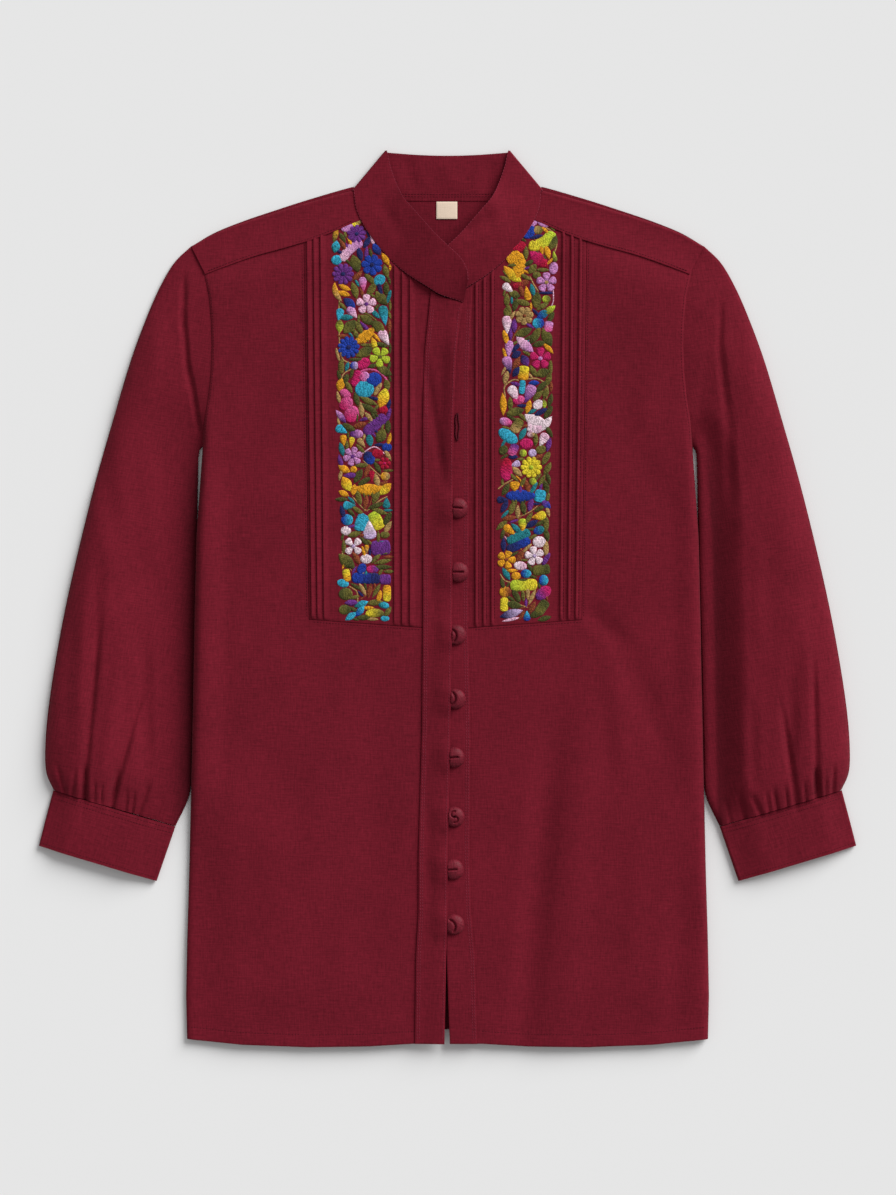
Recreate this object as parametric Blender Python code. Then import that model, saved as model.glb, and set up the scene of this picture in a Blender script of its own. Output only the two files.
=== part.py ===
"""Long-sleeved blouse with a stand collar, laid flat on its back, as walls of cloth.

Sizes are in millimetres, and MM turns them into metres where a mesh is written.
+Y points to the neck, +X to the right of someone who looks down on the front, +Z is up.
The origin is on the floor, in the middle of the garment's outline.
A side is -1 or +1, and t is the distance from the centre line towards that side.
"""
import math

import bmesh
import bpy
import numpy as np

MM = 0.001

# Cloth
CLOTH = 1.2            # one layer with its seam turnings
DOUBLE = 1.4           # plackets, folded double
BAND = 1.8             # collar, two layers and a stiffener
CUFF_WALL = 1.6        # cuffs, folded double
GAP = 0.3              # between pieces that touch
SEAM_GAP = 0.5         # between pieces along a curved seam
END_GAP = 1.2          # between a coarse end and the curve that it meets
LAP = 4.0              # how far a lapped piece covers the one under it

# Height of the front over the floor
AIR = 7.0              # room between back and front in the middle
SIDE_REACH = 9.0       # the front climbs to full height over this width at a side
TOP_REACH = 60.0       # and over this length at a shoulder
HEM_REACH = 60.0       # and it sinks a little over this length at the hem
HEM_DROP = 0.34        # by this share of the room
# Share of the height that the front keeps at its very edge: y, share
EDGE_HOLD = ((133.0, 0.0), (165.0, 0.8), (311.0, 0.8))

BACK_HEM_Y = -380.0
BACK_SEAM_Y = 266.5    # yoke to back panel
SHOULDER_TOP_Y = 360.0
NECK_T = 84.8          # yoke's neck corner on the shoulder
YOKE_LIFT = 0.9        # between the front and the yoke that laps it
YOKE_ROOM = 0.9        # inner radius of the yoke's fold at the shoulder

# Side seam, then armhole: y, half width of the body
BODY_EDGE = (
    (-388.0, 229.7), (-350.0, 230.6), (-300.0, 229.6), (-240.0, 227.8), (-160.0, 226.0),
    (-80.0, 224.3), (-18.5, 223.2), (55.0, 221.5), (133.0, 216.0),
    (155.3, 214.1), (177.5, 210.6), (199.8, 208.4), (222.0, 207.6),
    (244.3, 208.2), (266.5, 210.2), (288.8, 215.2), (311.0, 226.5),
)
UNDERARM_Y, SHOULDER_TIP_Y, YOKE_END_Y = 133.0, 311.0, 288.8
# Front hem: t, y
HEM = ((0.0, -392.0), (30.0, -392.0), (70.0, -394.4), (123.0, -395.1), (180.0, -393.0), (231.0, -388.0))
# Shoulder line: t, y
SHOULDER = ((84.8, 360.0), (120.0, 350.0), (150.0, 341.0), (180.0, 331.5), (205.0, 322.0), (226.5, 311.0))
# Seam of the yoke on the front: t, y
YOKE_SEAM = ((77.0, 338.0), (102.0, 326.0), (125.0, 317.5), (160.0, 308.5), (183.0, 301.0), (215.2, 288.8))
# Seam of the collar on the front: t, y; a negative t is past the centre line
NECK = ((-14.5, 260.5), (-8.0, 262.6), (0.0, 265.0), (8.0, 268.0), (20.0, 275.5), (34.0, 284.5),
        (46.0, 294.0), (57.0, 305.5), (71.0, 324.0), (80.0, 342.0), (84.0, 360.0))
# Seam of the collar on the back: t, y
BACK_NECK = ((0.0, 352.0), (45.0, 352.5), (74.0, 355.6), (84.8, 357.9))

# Tucked insets. Rows of TUCKS: side, outer three, inner three, as t at the bottom
TUCKS = {-1: (32.6, 39.6, 46.5, 108.2, 113.8, 119.0), 1: (25.0, 32.0, 39.0, 99.5, 106.3, 113.0)}
INSET_EDGE = {-1: (121.8, 126.3), 1: (118.0, 122.5)}    # side: t at the bottom, t at the top
INSET_BOTTOM = ((10.0, -26.7), (124.0, -18.5))          # t, y
INSET_TOP_Y = 318.0
TUCK_BASE, TUCK_CREST, TUCK_HIGH = 1.4, 0.8, 1.0        # half widths at foot and crest, height
PLAIN_COLUMNS = (46.0, 52.0, 57.0, 64.0, 71.0, 78.0, 85.0, 92.0)
LEAN_START = 78.0      # beyond this t the inset's columns lean with its outer edge

# Free edge and seam of the left placket, which lies on top: y, edge x, seam x
PLACKET_TOP = (
    (-393.0, -2.7, -28.6), (-316.0, -1.2, -27.7), (-276.0, 0.0, -25.5), (-230.0, 0.0, -25.5),
    (-113.0, 2.6, -22.4), (-27.0, 4.0, -21.6), (86.0, 4.8, -21.6), (157.0, 5.4, -21.6),
    (215.0, 7.6, -20.2), (268.0, 13.4, -14.5),
)
# Hidden edge and seam of the right placket, underneath: y, edge x, seam x
PLACKET_UNDER = (
    (-393.0, 2.0, 26.2), (-316.0, -0.6, 24.2), (-276.0, -2.0, 20.7), (-230.0, -3.0, 19.4),
    (-113.0, -3.0, 20.2), (-27.0, -3.0, 18.2), (61.0, -3.0, 18.7), (200.0, -3.0, 18.9),
    (275.0, -3.0, 22.0),
)
PLACKET_RISE = 7.0     # the top placket climbs on to the other over this width

# Covered buttons: centre x, centre y
BUTTONS = ((9.4, 79.6), (9.8, 23.3), (7.7, -31.7), (7.1, -88.1),
           (6.2, -139.5), (6.1, -191.8), (5.5, -238.0), (6.1, -286.4))
# Turned profile of a button: radius, height
BUTTON_PROFILE = ((6.6, 0.0), (8.3, 0.7), (8.75, 1.5), (8.1, 2.5), (5.6, 3.3), (2.4, 3.6))
BUTTON_SIDES = 12
BUTTON_LIFT = 3.9      # the free edge is raised this far over a button
BUTTON_HOLD = 8.4      # half length of the raised stretch
BUTTON_EASE = 4.6      # and the slope on each side of it

LABEL_SIZE = (18.4, 15.2, 0.8)
LABEL_PLACE = (-0.6, 342.4)

# Largest folds of the front: start x, start y, end x, end y, half width, depth
FRONT_FOLDS = ((130.0, -30.0, 92.0, -390.0, 34.0, 1.4), (122.0, -5.0, 175.0, -140.0, 22.0, 0.9),
               (-205.0, -150.0, -196.0, -380.0, 30.0, 0.8))

# Front half of the collar, end to fold: seam t, seam y, top t, top y, height of the top edge
COLLAR_FRONT = (
    (-14.0, 260.5, -18.0, 279.0, 8.5), (-8.0, 262.6, -17.0, 288.5, 8.5), (0.0, 265.0, -11.0, 299.5, 8.5),
    (8.0, 268.0, -1.0, 309.0, 8.5), (20.0, 275.5, 11.0, 320.5, 8.2), (34.0, 284.5, 22.0, 333.0, 7.6),
    (46.0, 294.0, 31.0, 343.5, 6.8), (57.0, 305.5, 39.0, 353.0, 6.0), (71.0, 324.0, 45.0, 365.5, 4.8),
    (80.0, 342.0, 50.5, 381.5, 3.8),
)
HIDDEN_ROWS = 2        # the right end stops this many rows short, under the left one
COLLAR_FOLD = (84.3, 360.0, 55.0, 395.0)                # seam t, seam y, top t, top y
# Back half of the collar, fold to middle: seam t, seam y, top t, top y
COLLAR_BACK = ((74.0, 356.2, 46.0, 391.6), (45.0, 352.9, 25.0, 390.6), (0.0, 352.4, 0.0, 390.3))
COLLAR_ROOM = 0.7      # inner radius of the collar's side folds
COLLAR_RAISE = 3.6     # the left end lies this much higher, on the right one
COLLAR_LEVEL = (22.0, 46.0)                             # t where it starts and stops coming down

# Sleeve rings, armhole to cuff: inner edge t and y, outer edge t and y, height
SLEEVE = (
    (216.5, 133.4, 226.8, 311.0, 9.0), (217.6, 133.2, 240.5, 297.0, 8.0),
    (218.9, 132.2, 252.5, 277.0, 6.4), (220.0, 130.0, 264.6, 250.0, 9.4),
    (220.9, 124.0, 279.4, 210.0, 12.0), (221.4, 108.0, 295.2, 157.0, 13.4),
    (221.9, 80.0, 310.2, 104.3, 14.2), (222.6, 40.0, 324.0, 49.5, 15.0),
    (223.6, -8.0, 336.3, -4.5, 15.6), (224.8, -58.0, 345.8, -55.0, 16.4),
    (225.9, -102.0, 352.2, -98.0, 17.0), (226.9, -138.0, 354.8, -130.0, 17.0),
    (228.6, -172.0, 354.0, -153.0, 15.6), (239.9, -200.6, 347.6, -168.6, 11.0),
)
SLEEVE_FOLD = 3.2      # thickness where the tube folds at its edges
SLEEVE_COLUMNS = 16    # steps over the top of a ring
UNDER_SHORT = 0.05     # the under side ends this share of a column short of the folds
ARMHOLE_FADE = 4       # rings over which the armhole's curve and height die away
INNER_SLOPE, OUTER_SLOPE = 0.30, 0.24                   # part of the width that climbs at each edge
# Gathers above the cuff: place across from the inner edge, depth, reach up the sleeve in rings
GATHERS = ((0.875, 2.2, 3), (0.75, 3.6, 5), (0.5, 3.4, 4), (0.3125, 2.4, 3))

# Cuff rings, seam to edge: inner t, inner y, outer t, outer y, height
CUFF = ((240.0, -201.1, 347.7, -169.1, 9.8), (248.3, -225.2, 354.2, -193.7, 10.0),
        (256.5, -249.0, 360.4, -217.8, 9.6))
CUFF_FOLD = 4.6
CUFF_COLUMNS = 10

# Material: base colour, roughness
BURGUNDY = ((0.147, 0.010, 0.021, 1.0), 0.85)
DEEP_BURGUNDY = ((0.120, 0.009, 0.018, 1.0), 0.85)
BEIGE = ((0.77, 0.62, 0.49, 1.0), 0.7)


def lookup(table, value, column=1):
    """Column of a table at a value of its first column, by straight lines."""
    rows = np.asarray(table)
    return np.interp(value, rows[:, 0], rows[:, column])


def ease(value):
    """Soft step from 0 at 0 to 1 at 1."""
    value = np.clip(value, 0.0, 1.0)
    return value * value * (3.0 - 2.0 * value)


def body_half(y):
    """Half width of the body at y."""
    return lookup(BODY_EDGE, y)


def fold_depth(x, y):
    """Depth of the front's largest folds: soft troughs along straight lines."""
    depth = np.zeros(np.broadcast(x, y).shape)
    for x0, y0, x1, y1, half, deep in FRONT_FOLDS:
        run = np.hypot(x1 - x0, y1 - y0)
        along = ((x - x0) * (x1 - x0) + (y - y0) * (y1 - y0)) / run**2
        across = np.abs((x - x0) * (y1 - y0) - (y - y0) * (x1 - x0)) / run
        ends = ease(along / 0.3) * ease((1.15 - along) / 0.3)
        depth = depth + deep * ends * (1.0 - ease(across / half))
    return depth


def arch(x, y):
    """Height of the front's underside: low along sides and shoulders, full in the middle."""
    hold = lookup(EDGE_HOLD, y)
    side = hold + (1.0 - hold) * ease((body_half(y) - np.abs(x)) / SIDE_REACH)
    hem = 1.0 - HEM_DROP * ease(1.0 - (y - lookup(HEM, np.abs(x))) / HEM_REACH)
    shoulder = np.where(np.abs(x) < NECK_T, SHOULDER_TOP_Y, lookup(SHOULDER, np.abs(x)))
    top = ease((shoulder - y) / TOP_REACH)
    return CLOTH + GAP + (AIR - fold_depth(x, y)) * side * top * hem


def points(x, y, z):
    """Array of points from three arrays of one shape."""
    return np.stack(np.broadcast_arrays(x, y, z), axis=-1).astype(float)


def add_object(name, bm, material):
    """Object from a bmesh in millimetres, with one material."""
    bmesh.ops.recalc_face_normals(bm, faces=bm.faces)
    bmesh.ops.scale(bm, vec=(MM, MM, MM), verts=bm.verts)
    mesh = bpy.data.meshes.new(name)
    bm.to_mesh(mesh)
    bm.free()
    mesh.materials.append(material)
    mesh.shade_smooth()
    mesh.set_sharp_from_angle(angle=math.radians(40.0))
    body = bpy.data.objects.new(name, mesh)
    bpy.context.collection.objects.link(body)
    return body


def wall(name, outer, inner, material, tube=False, keep=None):
    """Closed wall between two grids of points, with rims along every open edge.

    A tube closes on itself along its columns. keep says which squares exist.
    """
    rows, columns = outer.shape[:2]
    count = rows * columns
    last = columns if tube else columns - 1
    faces = []
    for row in range(rows - 1):
        for column in range(last):
            if keep is None or keep[row, column]:
                right = (column + 1) % columns
                low, high = row * columns, (row + 1) * columns
                faces.append((low + column, low + right, high + right, high + column))
    edges = [(face[k], face[(k + 1) % 4]) for face in faces for k in range(4)]
    known = set(edges)
    rims = [(b, a, a + count, b + count) for a, b in edges if (b, a) not in known]
    inside = [tuple(corner + count for corner in reversed(face)) for face in faces]
    bm = bmesh.new()
    corners = np.concatenate([outer.reshape(-1, 3), inner.reshape(-1, 3)])
    verts = [bm.verts.new(corner) for corner in corners]
    for face in faces + inside + rims:
        bm.faces.new([verts[corner] for corner in face])
    loose = [vert for vert in bm.verts if not vert.link_faces]
    bmesh.ops.delete(bm, geom=loose, context='VERTS')
    return add_object(name, bm, material)


def moved_in(outer, thick):
    """Points moved in from a surface, square to it."""
    along, across = np.gradient(outer, axis=0), np.gradient(outer, axis=1)
    normal = np.cross(across, along)
    normal *= np.sign(normal[..., 2:3]) / np.linalg.norm(normal, axis=-1, keepdims=True)
    return outer - thick * normal


def slab(name, x, y, under, thick, material, keep=None):
    """Wall of cloth over a plan, from the height of its underside and how thick it is."""
    outer = points(x, y, under + thick)
    return wall(name, outer, moved_in(outer, thick), material, keep=keep)


def side_name(side):
    """Name of a side as seen from above."""
    return "left" if side < 0 else "right"


def placket_line(side, y):
    """t where the cloth of a front ends, under the placket that covers its edge."""
    table = PLACKET_TOP if side < 0 else PLACKET_UNDER
    return side * lookup(table, y, 2) - LAP


def front_top(t):
    """Upper edge of the front: the neck seam, or the seam under the yoke."""
    return np.minimum(lookup(NECK, t) - SEAM_GAP, lookup(YOKE_SEAM, t))


def neck_t(y):
    """t of the collar's front seam at y."""
    neck = np.array(NECK)
    return np.interp(y, neck[:, 1], neck[:, 0])


def inset_edge(side, y):
    """Outer edge of a tucked inset."""
    low, high = INSET_EDGE[side]
    start = INSET_BOTTOM[1][1]
    return low + (high - low) * (y - start) / (INSET_TOP_Y - start)


def front_panel(side, cloth):
    """Front beside and below the tucked inset, from the side seam to the placket."""
    outer_steps = np.array([1.0, 0.965, 0.925, 0.5, 0.0])
    inner_steps = np.linspace(1.0, 0.0, 4)
    low_rows = np.array([0.0, 0.08, 0.17, 0.45, 0.72, 1.0])
    high_levels = np.array([y for y, _ in BODY_EDGE if INSET_BOTTOM[1][1] <= y <= YOKE_END_Y])
    high_rows = (high_levels - high_levels[0]) / (high_levels[-1] - high_levels[0])
    corner = BODY_EDGE[0][0]
    levels = np.concatenate([corner + low_rows[:-1] * (high_levels[0] - corner), high_levels])

    def across(y):
        """t of every column at the heights y, a column each for the edges of the inset."""
        edge, seam = inset_edge(side, y), placket_line(side, y)
        outside = edge + GAP + (body_half(y) - edge - GAP) * outer_steps
        inside = seam + (edge + GAP - seam) * inner_steps[1:]
        return np.concatenate([outside, inside], axis=1)

    t = across(levels[:, None])
    bottom, top, hem = lookup(INSET_BOTTOM, t), front_top(t), lookup(HEM, t)
    low = hem[:5] + (bottom[:5] - hem[:5]) * low_rows[:5, None]
    high = bottom[5:] + (top[5:] - bottom[5:]) * high_rows[:, None]
    y = np.concatenate([low, high])
    cells = np.concatenate([across(row[:, None])[None] for row in y])
    t = np.stack([np.diagonal(row) for row in cells])
    keep = np.ones((len(y) - 1, t.shape[1] - 1), dtype=bool)
    keep[5:, 4:] = False
    x = side * t
    return slab("front_" + side_name(side), x, y, arch(x, y), CLOTH, cloth, keep)


def tuck_columns(side):
    """Columns of an inset: t at the bottom and height of the cloth there."""
    edge = INSET_EDGE[side][0]
    clear = [t for t in PLAIN_COLUMNS if np.abs(np.array(TUCKS[side]) - t).min() > TUCK_BASE]
    columns = [(t, 0.0) for t in clear] + [(edge, 0.0), (placket_line(side, 0.0), 0.0)]
    for t in TUCKS[side]:
        columns += [(t - TUCK_BASE, 0.0), (t - TUCK_CREST, TUCK_HIGH)]
        columns += [(t + TUCK_CREST, TUCK_HIGH), (t + TUCK_BASE, 0.0)]
    return np.array(sorted(columns, reverse=True))


def inset(side, cloth):
    """Tucked inset between the front, the placket, the collar and the yoke."""
    columns = tuck_columns(side)
    start, ridge = columns[:, 0], columns[:, 1]
    outer, inner = start[0], LEAN_START
    rows = np.array([0.0, 0.33, 0.67, 0.96, 0.98, 1.0])[:, None]
    bottom = lookup(INSET_BOTTOM, start) + GAP
    lean = np.clip((start - inner) / (outer - inner), 0.0, 1.0)
    y = bottom + (INSET_TOP_Y - bottom) * rows
    for _ in range(3):
        t = start + (inset_edge(side, y) - outer) * lean
        t[:, -1] = placket_line(side, y[:, -1])
        y = bottom + (front_top(t) - bottom) * rows
    x = side * t
    under = arch(x, y)
    high = ridge * np.array([1.0, 1.0, 1.0, 1.0, 0.0, 0.0])[:, None]
    return wall("inset_" + side_name(side), points(x, y, under + CLOTH + high), points(x, y, under), cloth)


def placket_under(cloth):
    """Right placket, which carries the buttons and lies under the left one."""
    y = np.array([HEM[0][1], -362.5, -330.0, -300.0, -276.0, -230.0, -170.0, -113.0, -70.0, -27.0, 15.0,
                  61.0, 110.0, 155.0, 200.0, 240.0, 275.0])[:, None]
    steps = np.array([0.0, 0.3, 0.65, 1.0])
    edge, seam = lookup(PLACKET_UNDER, y, 1), lookup(PLACKET_UNDER, y, 2)
    x = edge + (seam - edge) * steps
    y = np.broadcast_to(y, x.shape).copy()
    y[-1] = lookup(NECK, x[-1]) - END_GAP
    under = arch(x, y) + CLOTH + GAP
    return slab("placket_under", x, y, under, DOUBLE, cloth)


def button_lift(y):
    """How far the top placket's free edge is raised at y to pass over the buttons."""
    lift = np.zeros_like(y)
    for _, centre in BUTTONS:
        lift = np.maximum(lift, 1.0 - np.clip((np.abs(y - centre) - BUTTON_HOLD) / BUTTON_EASE, 0.0, 1.0))
    return BUTTON_LIFT * lift


def placket_top(cloth):
    """Left placket, which climbs on to the right one and over the buttons' edges."""
    reach = BUTTON_HOLD + BUTTON_EASE
    levels = [HEM[0][1], -350.0, 110.0, 150.0, 190.0, 230.0, 275.0]
    for _, centre in BUTTONS:
        levels += [centre - reach, centre - BUTTON_HOLD, centre + BUTTON_HOLD, centre + reach]
    y = np.array(sorted(levels))[:, None]
    edge, seam = lookup(PLACKET_TOP, y, 1), lookup(PLACKET_TOP, y, 2)
    from_edge = np.array([26.0, 17.0, 8.6, 5.2, 0.0])
    x = np.maximum(edge - from_edge, seam)
    x[:, 0] = seam[:, 0]
    y = np.broadcast_to(y, x.shape).copy()
    y[-1] = lookup(NECK, -x[-1]) - END_GAP
    step = (DOUBLE + GAP) * ease((x - seam - LAP) / PLACKET_RISE)
    lift = button_lift(y) * np.array([0.0, 0.0, 0.0, 1.0, 1.0])
    under = arch(x, y) + CLOTH + GAP + step + lift
    return slab("placket_top", x, y, under, DOUBLE, cloth)


def back(cloth):
    """Back panel, flat on the floor under the front."""
    levels = np.array([BACK_HEM_Y] + [y for y, _ in BODY_EDGE if BACK_HEM_Y < y < BACK_SEAM_Y])
    y = np.append(levels, BACK_SEAM_Y - GAP)[:, None]
    x = (body_half(y) - CLOTH / 2) * np.linspace(-1.0, 1.0, 7)
    return slab("back", x, np.broadcast_to(y, x.shape), np.zeros_like(x), CLOTH, cloth)


def yoke(cloth):
    """Yoke: a strip on the front of each shoulder, folded over it to the back in one piece."""
    radius = CLOTH + YOKE_ROOM
    shoulder = np.array(SHOULDER)
    wing_t, wing_y = shoulder[:, 0], shoulder[:, 1]
    share = (wing_t - wing_t[0]) / (wing_t[-1] - wing_t[0])
    seam_y = lookup(YOKE_SEAM, 214.0) - LAP
    neck_end = neck_t(YOKE_SEAM[0][1] - LAP) + END_GAP
    seam_t = neck_end + share * (body_half(seam_y) - END_GAP - neck_end)
    seam = np.stack([seam_t, lookup(YOKE_SEAM, seam_t) - LAP])
    start = np.stack([wing_t, wing_y - radius])
    middle = (seam + start) / 2
    middle[0, 0] = neck_t(middle[1, 0]) + END_GAP
    middle[0, -1] = body_half(middle[1, -1]) - END_GAP
    start[0, -1] = body_half(start[1, -1]) - GAP

    centre_t = np.array([t for t, _ in BACK_NECK[:-1]])
    centre_y = lookup(BACK_NECK, centre_t) - GAP

    def surface(inset_by):
        """Grid of half the yoke, centre line outwards, seen from outside or inset by the wall."""
        r = radius - inset_by
        rows = []
        for plan in (seam, middle):
            height = arch(plan[0], plan[1]) + CLOTH + YOKE_LIFT + CLOTH - inset_by
            rows.append((plan[0], plan[1], height))
        for angle in np.radians([90.0, 45.0, 0.0, -45.0, -90.0]):
            lift = radius + r * math.sin(angle)
            rows.append((start[0], start[1] + r * math.cos(angle), np.full(len(wing_t), lift)))
        for level in (YOKE_END_Y, BACK_SEAM_Y):
            rows.append((wing_t * body_half(level) / wing_t[-1], np.full(len(wing_t), level),
                         np.full(len(wing_t), inset_by)))
        wings = np.stack([points(*row) for row in rows])
        centre = np.zeros((len(rows), len(centre_t), 3))
        for row, level in zip((6, 7, 8), (centre_y, YOKE_END_Y, BACK_SEAM_Y)):
            scale = 1.0 if row == 6 else wings[row, 0, 0] / wing_t[0]
            centre[row] = points(centre_t * scale, level, np.full(len(centre_t), inset_by))
        half = np.concatenate([centre, wings], axis=1)
        mirrored = half[:, :0:-1] * np.array([-1.0, 1.0, 1.0])
        return np.concatenate([mirrored, half], axis=1)

    outer, inner = surface(0.0), surface(CLOTH)
    wing_columns = len(wing_t) - 1
    keep = np.ones((outer.shape[0] - 1, outer.shape[1] - 1), dtype=bool)
    keep[:6, wing_columns:-wing_columns] = False
    return wall("yoke", outer, inner, cloth, keep=keep)


def collar_half(side):
    """Rows of half the collar, front end to middle of the back: outer and inner points."""
    radius = BAND + COLLAR_ROOM
    across = np.array([0.0, 0.5, 1.0])[:, None]
    rows = []
    first = 0 if side < 0 else HIDDEN_ROWS
    for seam_t, seam_y, top_t, top_y, high in COLLAR_FRONT[first:]:
        t = seam_t + (top_t - seam_t) * across
        y = seam_y + (top_y - seam_y) * across
        level = arch(side * seam_t, seam_y) * (1.0 - across) + high * across
        start, stop = COLLAR_LEVEL
        if side < 0:
            level = level + COLLAR_RAISE * (1.0 - ease((seam_t - start) / (stop - start)))
        level = np.maximum(level, radius + COLLAR_ROOM)
        rows.append((points(side * t, y, level + BAND), points(side * t, y, level)))
    seam_t, seam_y, top_t, top_y = COLLAR_FOLD
    fold = np.hypot(top_t - seam_t, top_y - seam_y)
    inwards = (-(top_y - seam_y) / fold, (top_t - seam_t) / fold)
    t = seam_t + (top_t - seam_t) * across
    y = seam_y + (top_y - seam_y) * across
    for angle in np.radians([90.0, 45.0, 0.0, -45.0, -90.0]):
        pair = []
        for r in (radius, COLLAR_ROOM):
            back_off = radius - r * math.cos(angle)
            pair.append(points(side * (t + inwards[0] * back_off), y + inwards[1] * back_off,
                               radius + r * math.sin(angle) + 0.0 * t))
        rows.append(tuple(pair))
    for seam_t, seam_y, top_t, top_y in COLLAR_BACK:
        t = seam_t + (top_t - seam_t) * across
        y = seam_y + (top_y - seam_y) * across
        rows.append((points(side * t, y, 0.0 * t), points(side * t, y, BAND + 0.0 * t)))
    return rows


def collar(cloth):
    """Stand collar: one band from the left front end round the back to the right one."""
    left, right = collar_half(-1), collar_half(1)
    rows = left + right[-2::-1]
    outer = np.stack([row[0][:, 0] for row in rows])
    inner = np.stack([row[1][:, 0] for row in rows])
    return wall("collar", outer, inner, cloth)


def ring_section(width, fold, thick, steps, profile):
    """Section of a flattened tube: share of the width and height, for its outside and inside.

    The ends are half circles, the bottom is flat and profile gives the top's height.
    """
    radius = fold / 2
    low = np.linspace(1.0, 0.0, steps // 2 + 1)[1:-1]
    high = np.linspace(0.0, 1.0, steps + 1)[1:-1]
    half_turn = np.radians([-90.0, -45.0, 0.0, 45.0, 90.0])
    sections = []
    for inset_by in (0.0, thick):
        r = radius - inset_by
        first = (radius - r * np.cos(half_turn), radius + r * np.sin(half_turn))
        bottom = (low * width, np.full(len(low), inset_by))
        top = (high * width, profile(high) - inset_by)
        far = (width - first[0][::-1], first[1][::-1])
        place = np.concatenate([bottom[0], first[0], top[0], far[0]])
        height = np.concatenate([bottom[1], first[1], top[1], far[1]])
        sections.append((place / width, height))
    return sections


def sleeve(side, cloth):
    """Sleeve: a flattened tube from the curved armhole to the gathers at the cuff.

    Its under side and its upper side with both folds are two nodes.
    """
    armhole_x0, armhole_x1 = body_half(UNDERARM_Y), body_half(SHOULDER_TIP_Y)
    rings = ([], [])
    for index, (inner_t, inner_y, outer_t, outer_y, high) in enumerate(SLEEVE):
        width = np.hypot(outer_t - inner_t, outer_y - inner_y)
        from_cuff = len(SLEEVE) - 1 - index
        fade = max(0.0, 1.0 - index / ARMHOLE_FADE)

        def profile(place, high=high, from_cuff=from_cuff, fade=fade):
            """Height of the top across the ring: the seam's at the armhole, gathers at the cuff."""
            climb = ease(place / INNER_SLOPE) * ease((1.0 - place) / OUTER_SLOPE)
            top = SLEEVE_FOLD + (high - SLEEVE_FOLD) * climb
            level = UNDERARM_Y + (SHOULDER_TIP_Y - UNDERARM_Y) * place
            seam = np.maximum(arch(body_half(level), level) + CLOTH, SLEEVE_FOLD)
            top = top + (seam - top) * fade**2
            for centre, deep, reach in GATHERS:
                near = np.clip(1.0 - np.abs(place - centre) * SLEEVE_COLUMNS / 1.3, 0.0, 1.0)
                top = top - deep * near * max(0.0, 1.0 - from_cuff / reach)
            return top

        for grid, section in zip(rings, ring_section(width, SLEEVE_FOLD, CLOTH, SLEEVE_COLUMNS, profile)):
            place, height = section
            level = UNDERARM_Y + (SHOULDER_TIP_Y - UNDERARM_Y) * place
            bow = body_half(level) - armhole_x0 - (armhole_x1 - armhole_x0) * place
            t = inner_t + (outer_t - inner_t) * place + fade * bow
            y = inner_y + (outer_y - inner_y) * place
            grid.append(points(side * t, y, height))
    low = SLEEVE_COLUMNS // 2
    upper, under = [], []
    for grid in rings:
        ring = np.stack(grid)
        upper.append(ring[:, low - 1:])
        flat = np.concatenate([ring[:, -1:], ring[:, :low]], axis=1)
        flat[:, 0] += UNDER_SHORT * (flat[:, 1] - flat[:, 0])
        flat[:, -1] += UNDER_SHORT * (flat[:, -2] - flat[:, -1])
        under.append(flat)
    name = side_name(side)
    return [wall("sleeve_" + name, *upper, cloth), wall("sleeve_under_" + name, *under, cloth)]


def cuff(side, cloth):
    """Cuff: a short flattened tube of double cloth."""
    rings = ([], [])
    for inner_t, inner_y, outer_t, outer_y, high in CUFF:
        width = np.hypot(outer_t - inner_t, outer_y - inner_y)

        def profile(place, high=high):
            """Height of the top across the cuff."""
            climb = ease(place / INNER_SLOPE) * ease((1.0 - place) / OUTER_SLOPE)
            return CUFF_FOLD + (high - CUFF_FOLD) * climb

        for grid, section in zip(rings, ring_section(width, CUFF_FOLD, CUFF_WALL, CUFF_COLUMNS, profile)):
            place, height = section
            t = inner_t + (outer_t - inner_t) * place
            y = inner_y + (outer_y - inner_y) * place
            grid.append(points(side * t, y, height))
    return wall("cuff_" + side_name(side), np.stack(rings[0]), np.stack(rings[1]), cloth, tube=True)


def button(number, x, y, cloth):
    """Covered button: a turned dome on the under placket."""
    bm = bmesh.new()
    rings = []
    turn = np.arange(BUTTON_SIDES) * 2.0 * math.pi / BUTTON_SIDES
    for radius, height in BUTTON_PROFILE:
        corners = points(radius * np.cos(turn), radius * np.sin(turn), np.full(BUTTON_SIDES, height))
        rings.append([bm.verts.new(corner) for corner in corners])
    for low, high in zip(rings, rings[1:]):
        for side in range(BUTTON_SIDES):
            following = (side + 1) % BUTTON_SIDES
            bm.faces.new((low[side], low[following], high[following], high[side]))
    bm.faces.new(reversed(rings[0]))
    bm.faces.new(rings[-1])
    body = add_object(f"button_{number}", bm, cloth)
    base = float(arch(x, y)) + CLOTH + GAP + DOUBLE + GAP
    body.location = (x * MM, y * MM, base * MM)
    return body


def neck_label(cloth):
    """Small bare label on the inside of the yoke."""
    bm = bmesh.new()
    bmesh.ops.create_cube(bm, size=1.0)
    bmesh.ops.scale(bm, vec=LABEL_SIZE, verts=bm.verts)
    body = add_object("neck_label", bm, cloth)
    body.location = (LABEL_PLACE[0] * MM, LABEL_PLACE[1] * MM, (CLOTH + GAP + LABEL_SIZE[2] / 2) * MM)
    return body


def make_material(name, finish):
    """Principled material from a base colour and a roughness."""
    material = bpy.data.materials.new(name)
    material.use_nodes = True
    shader = material.node_tree.nodes["Principled BSDF"]
    shader.inputs["Base Color"].default_value = finish[0]
    shader.inputs["Roughness"].default_value = finish[1]
    shader.inputs["Metallic"].default_value = 0.0
    return material


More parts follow.
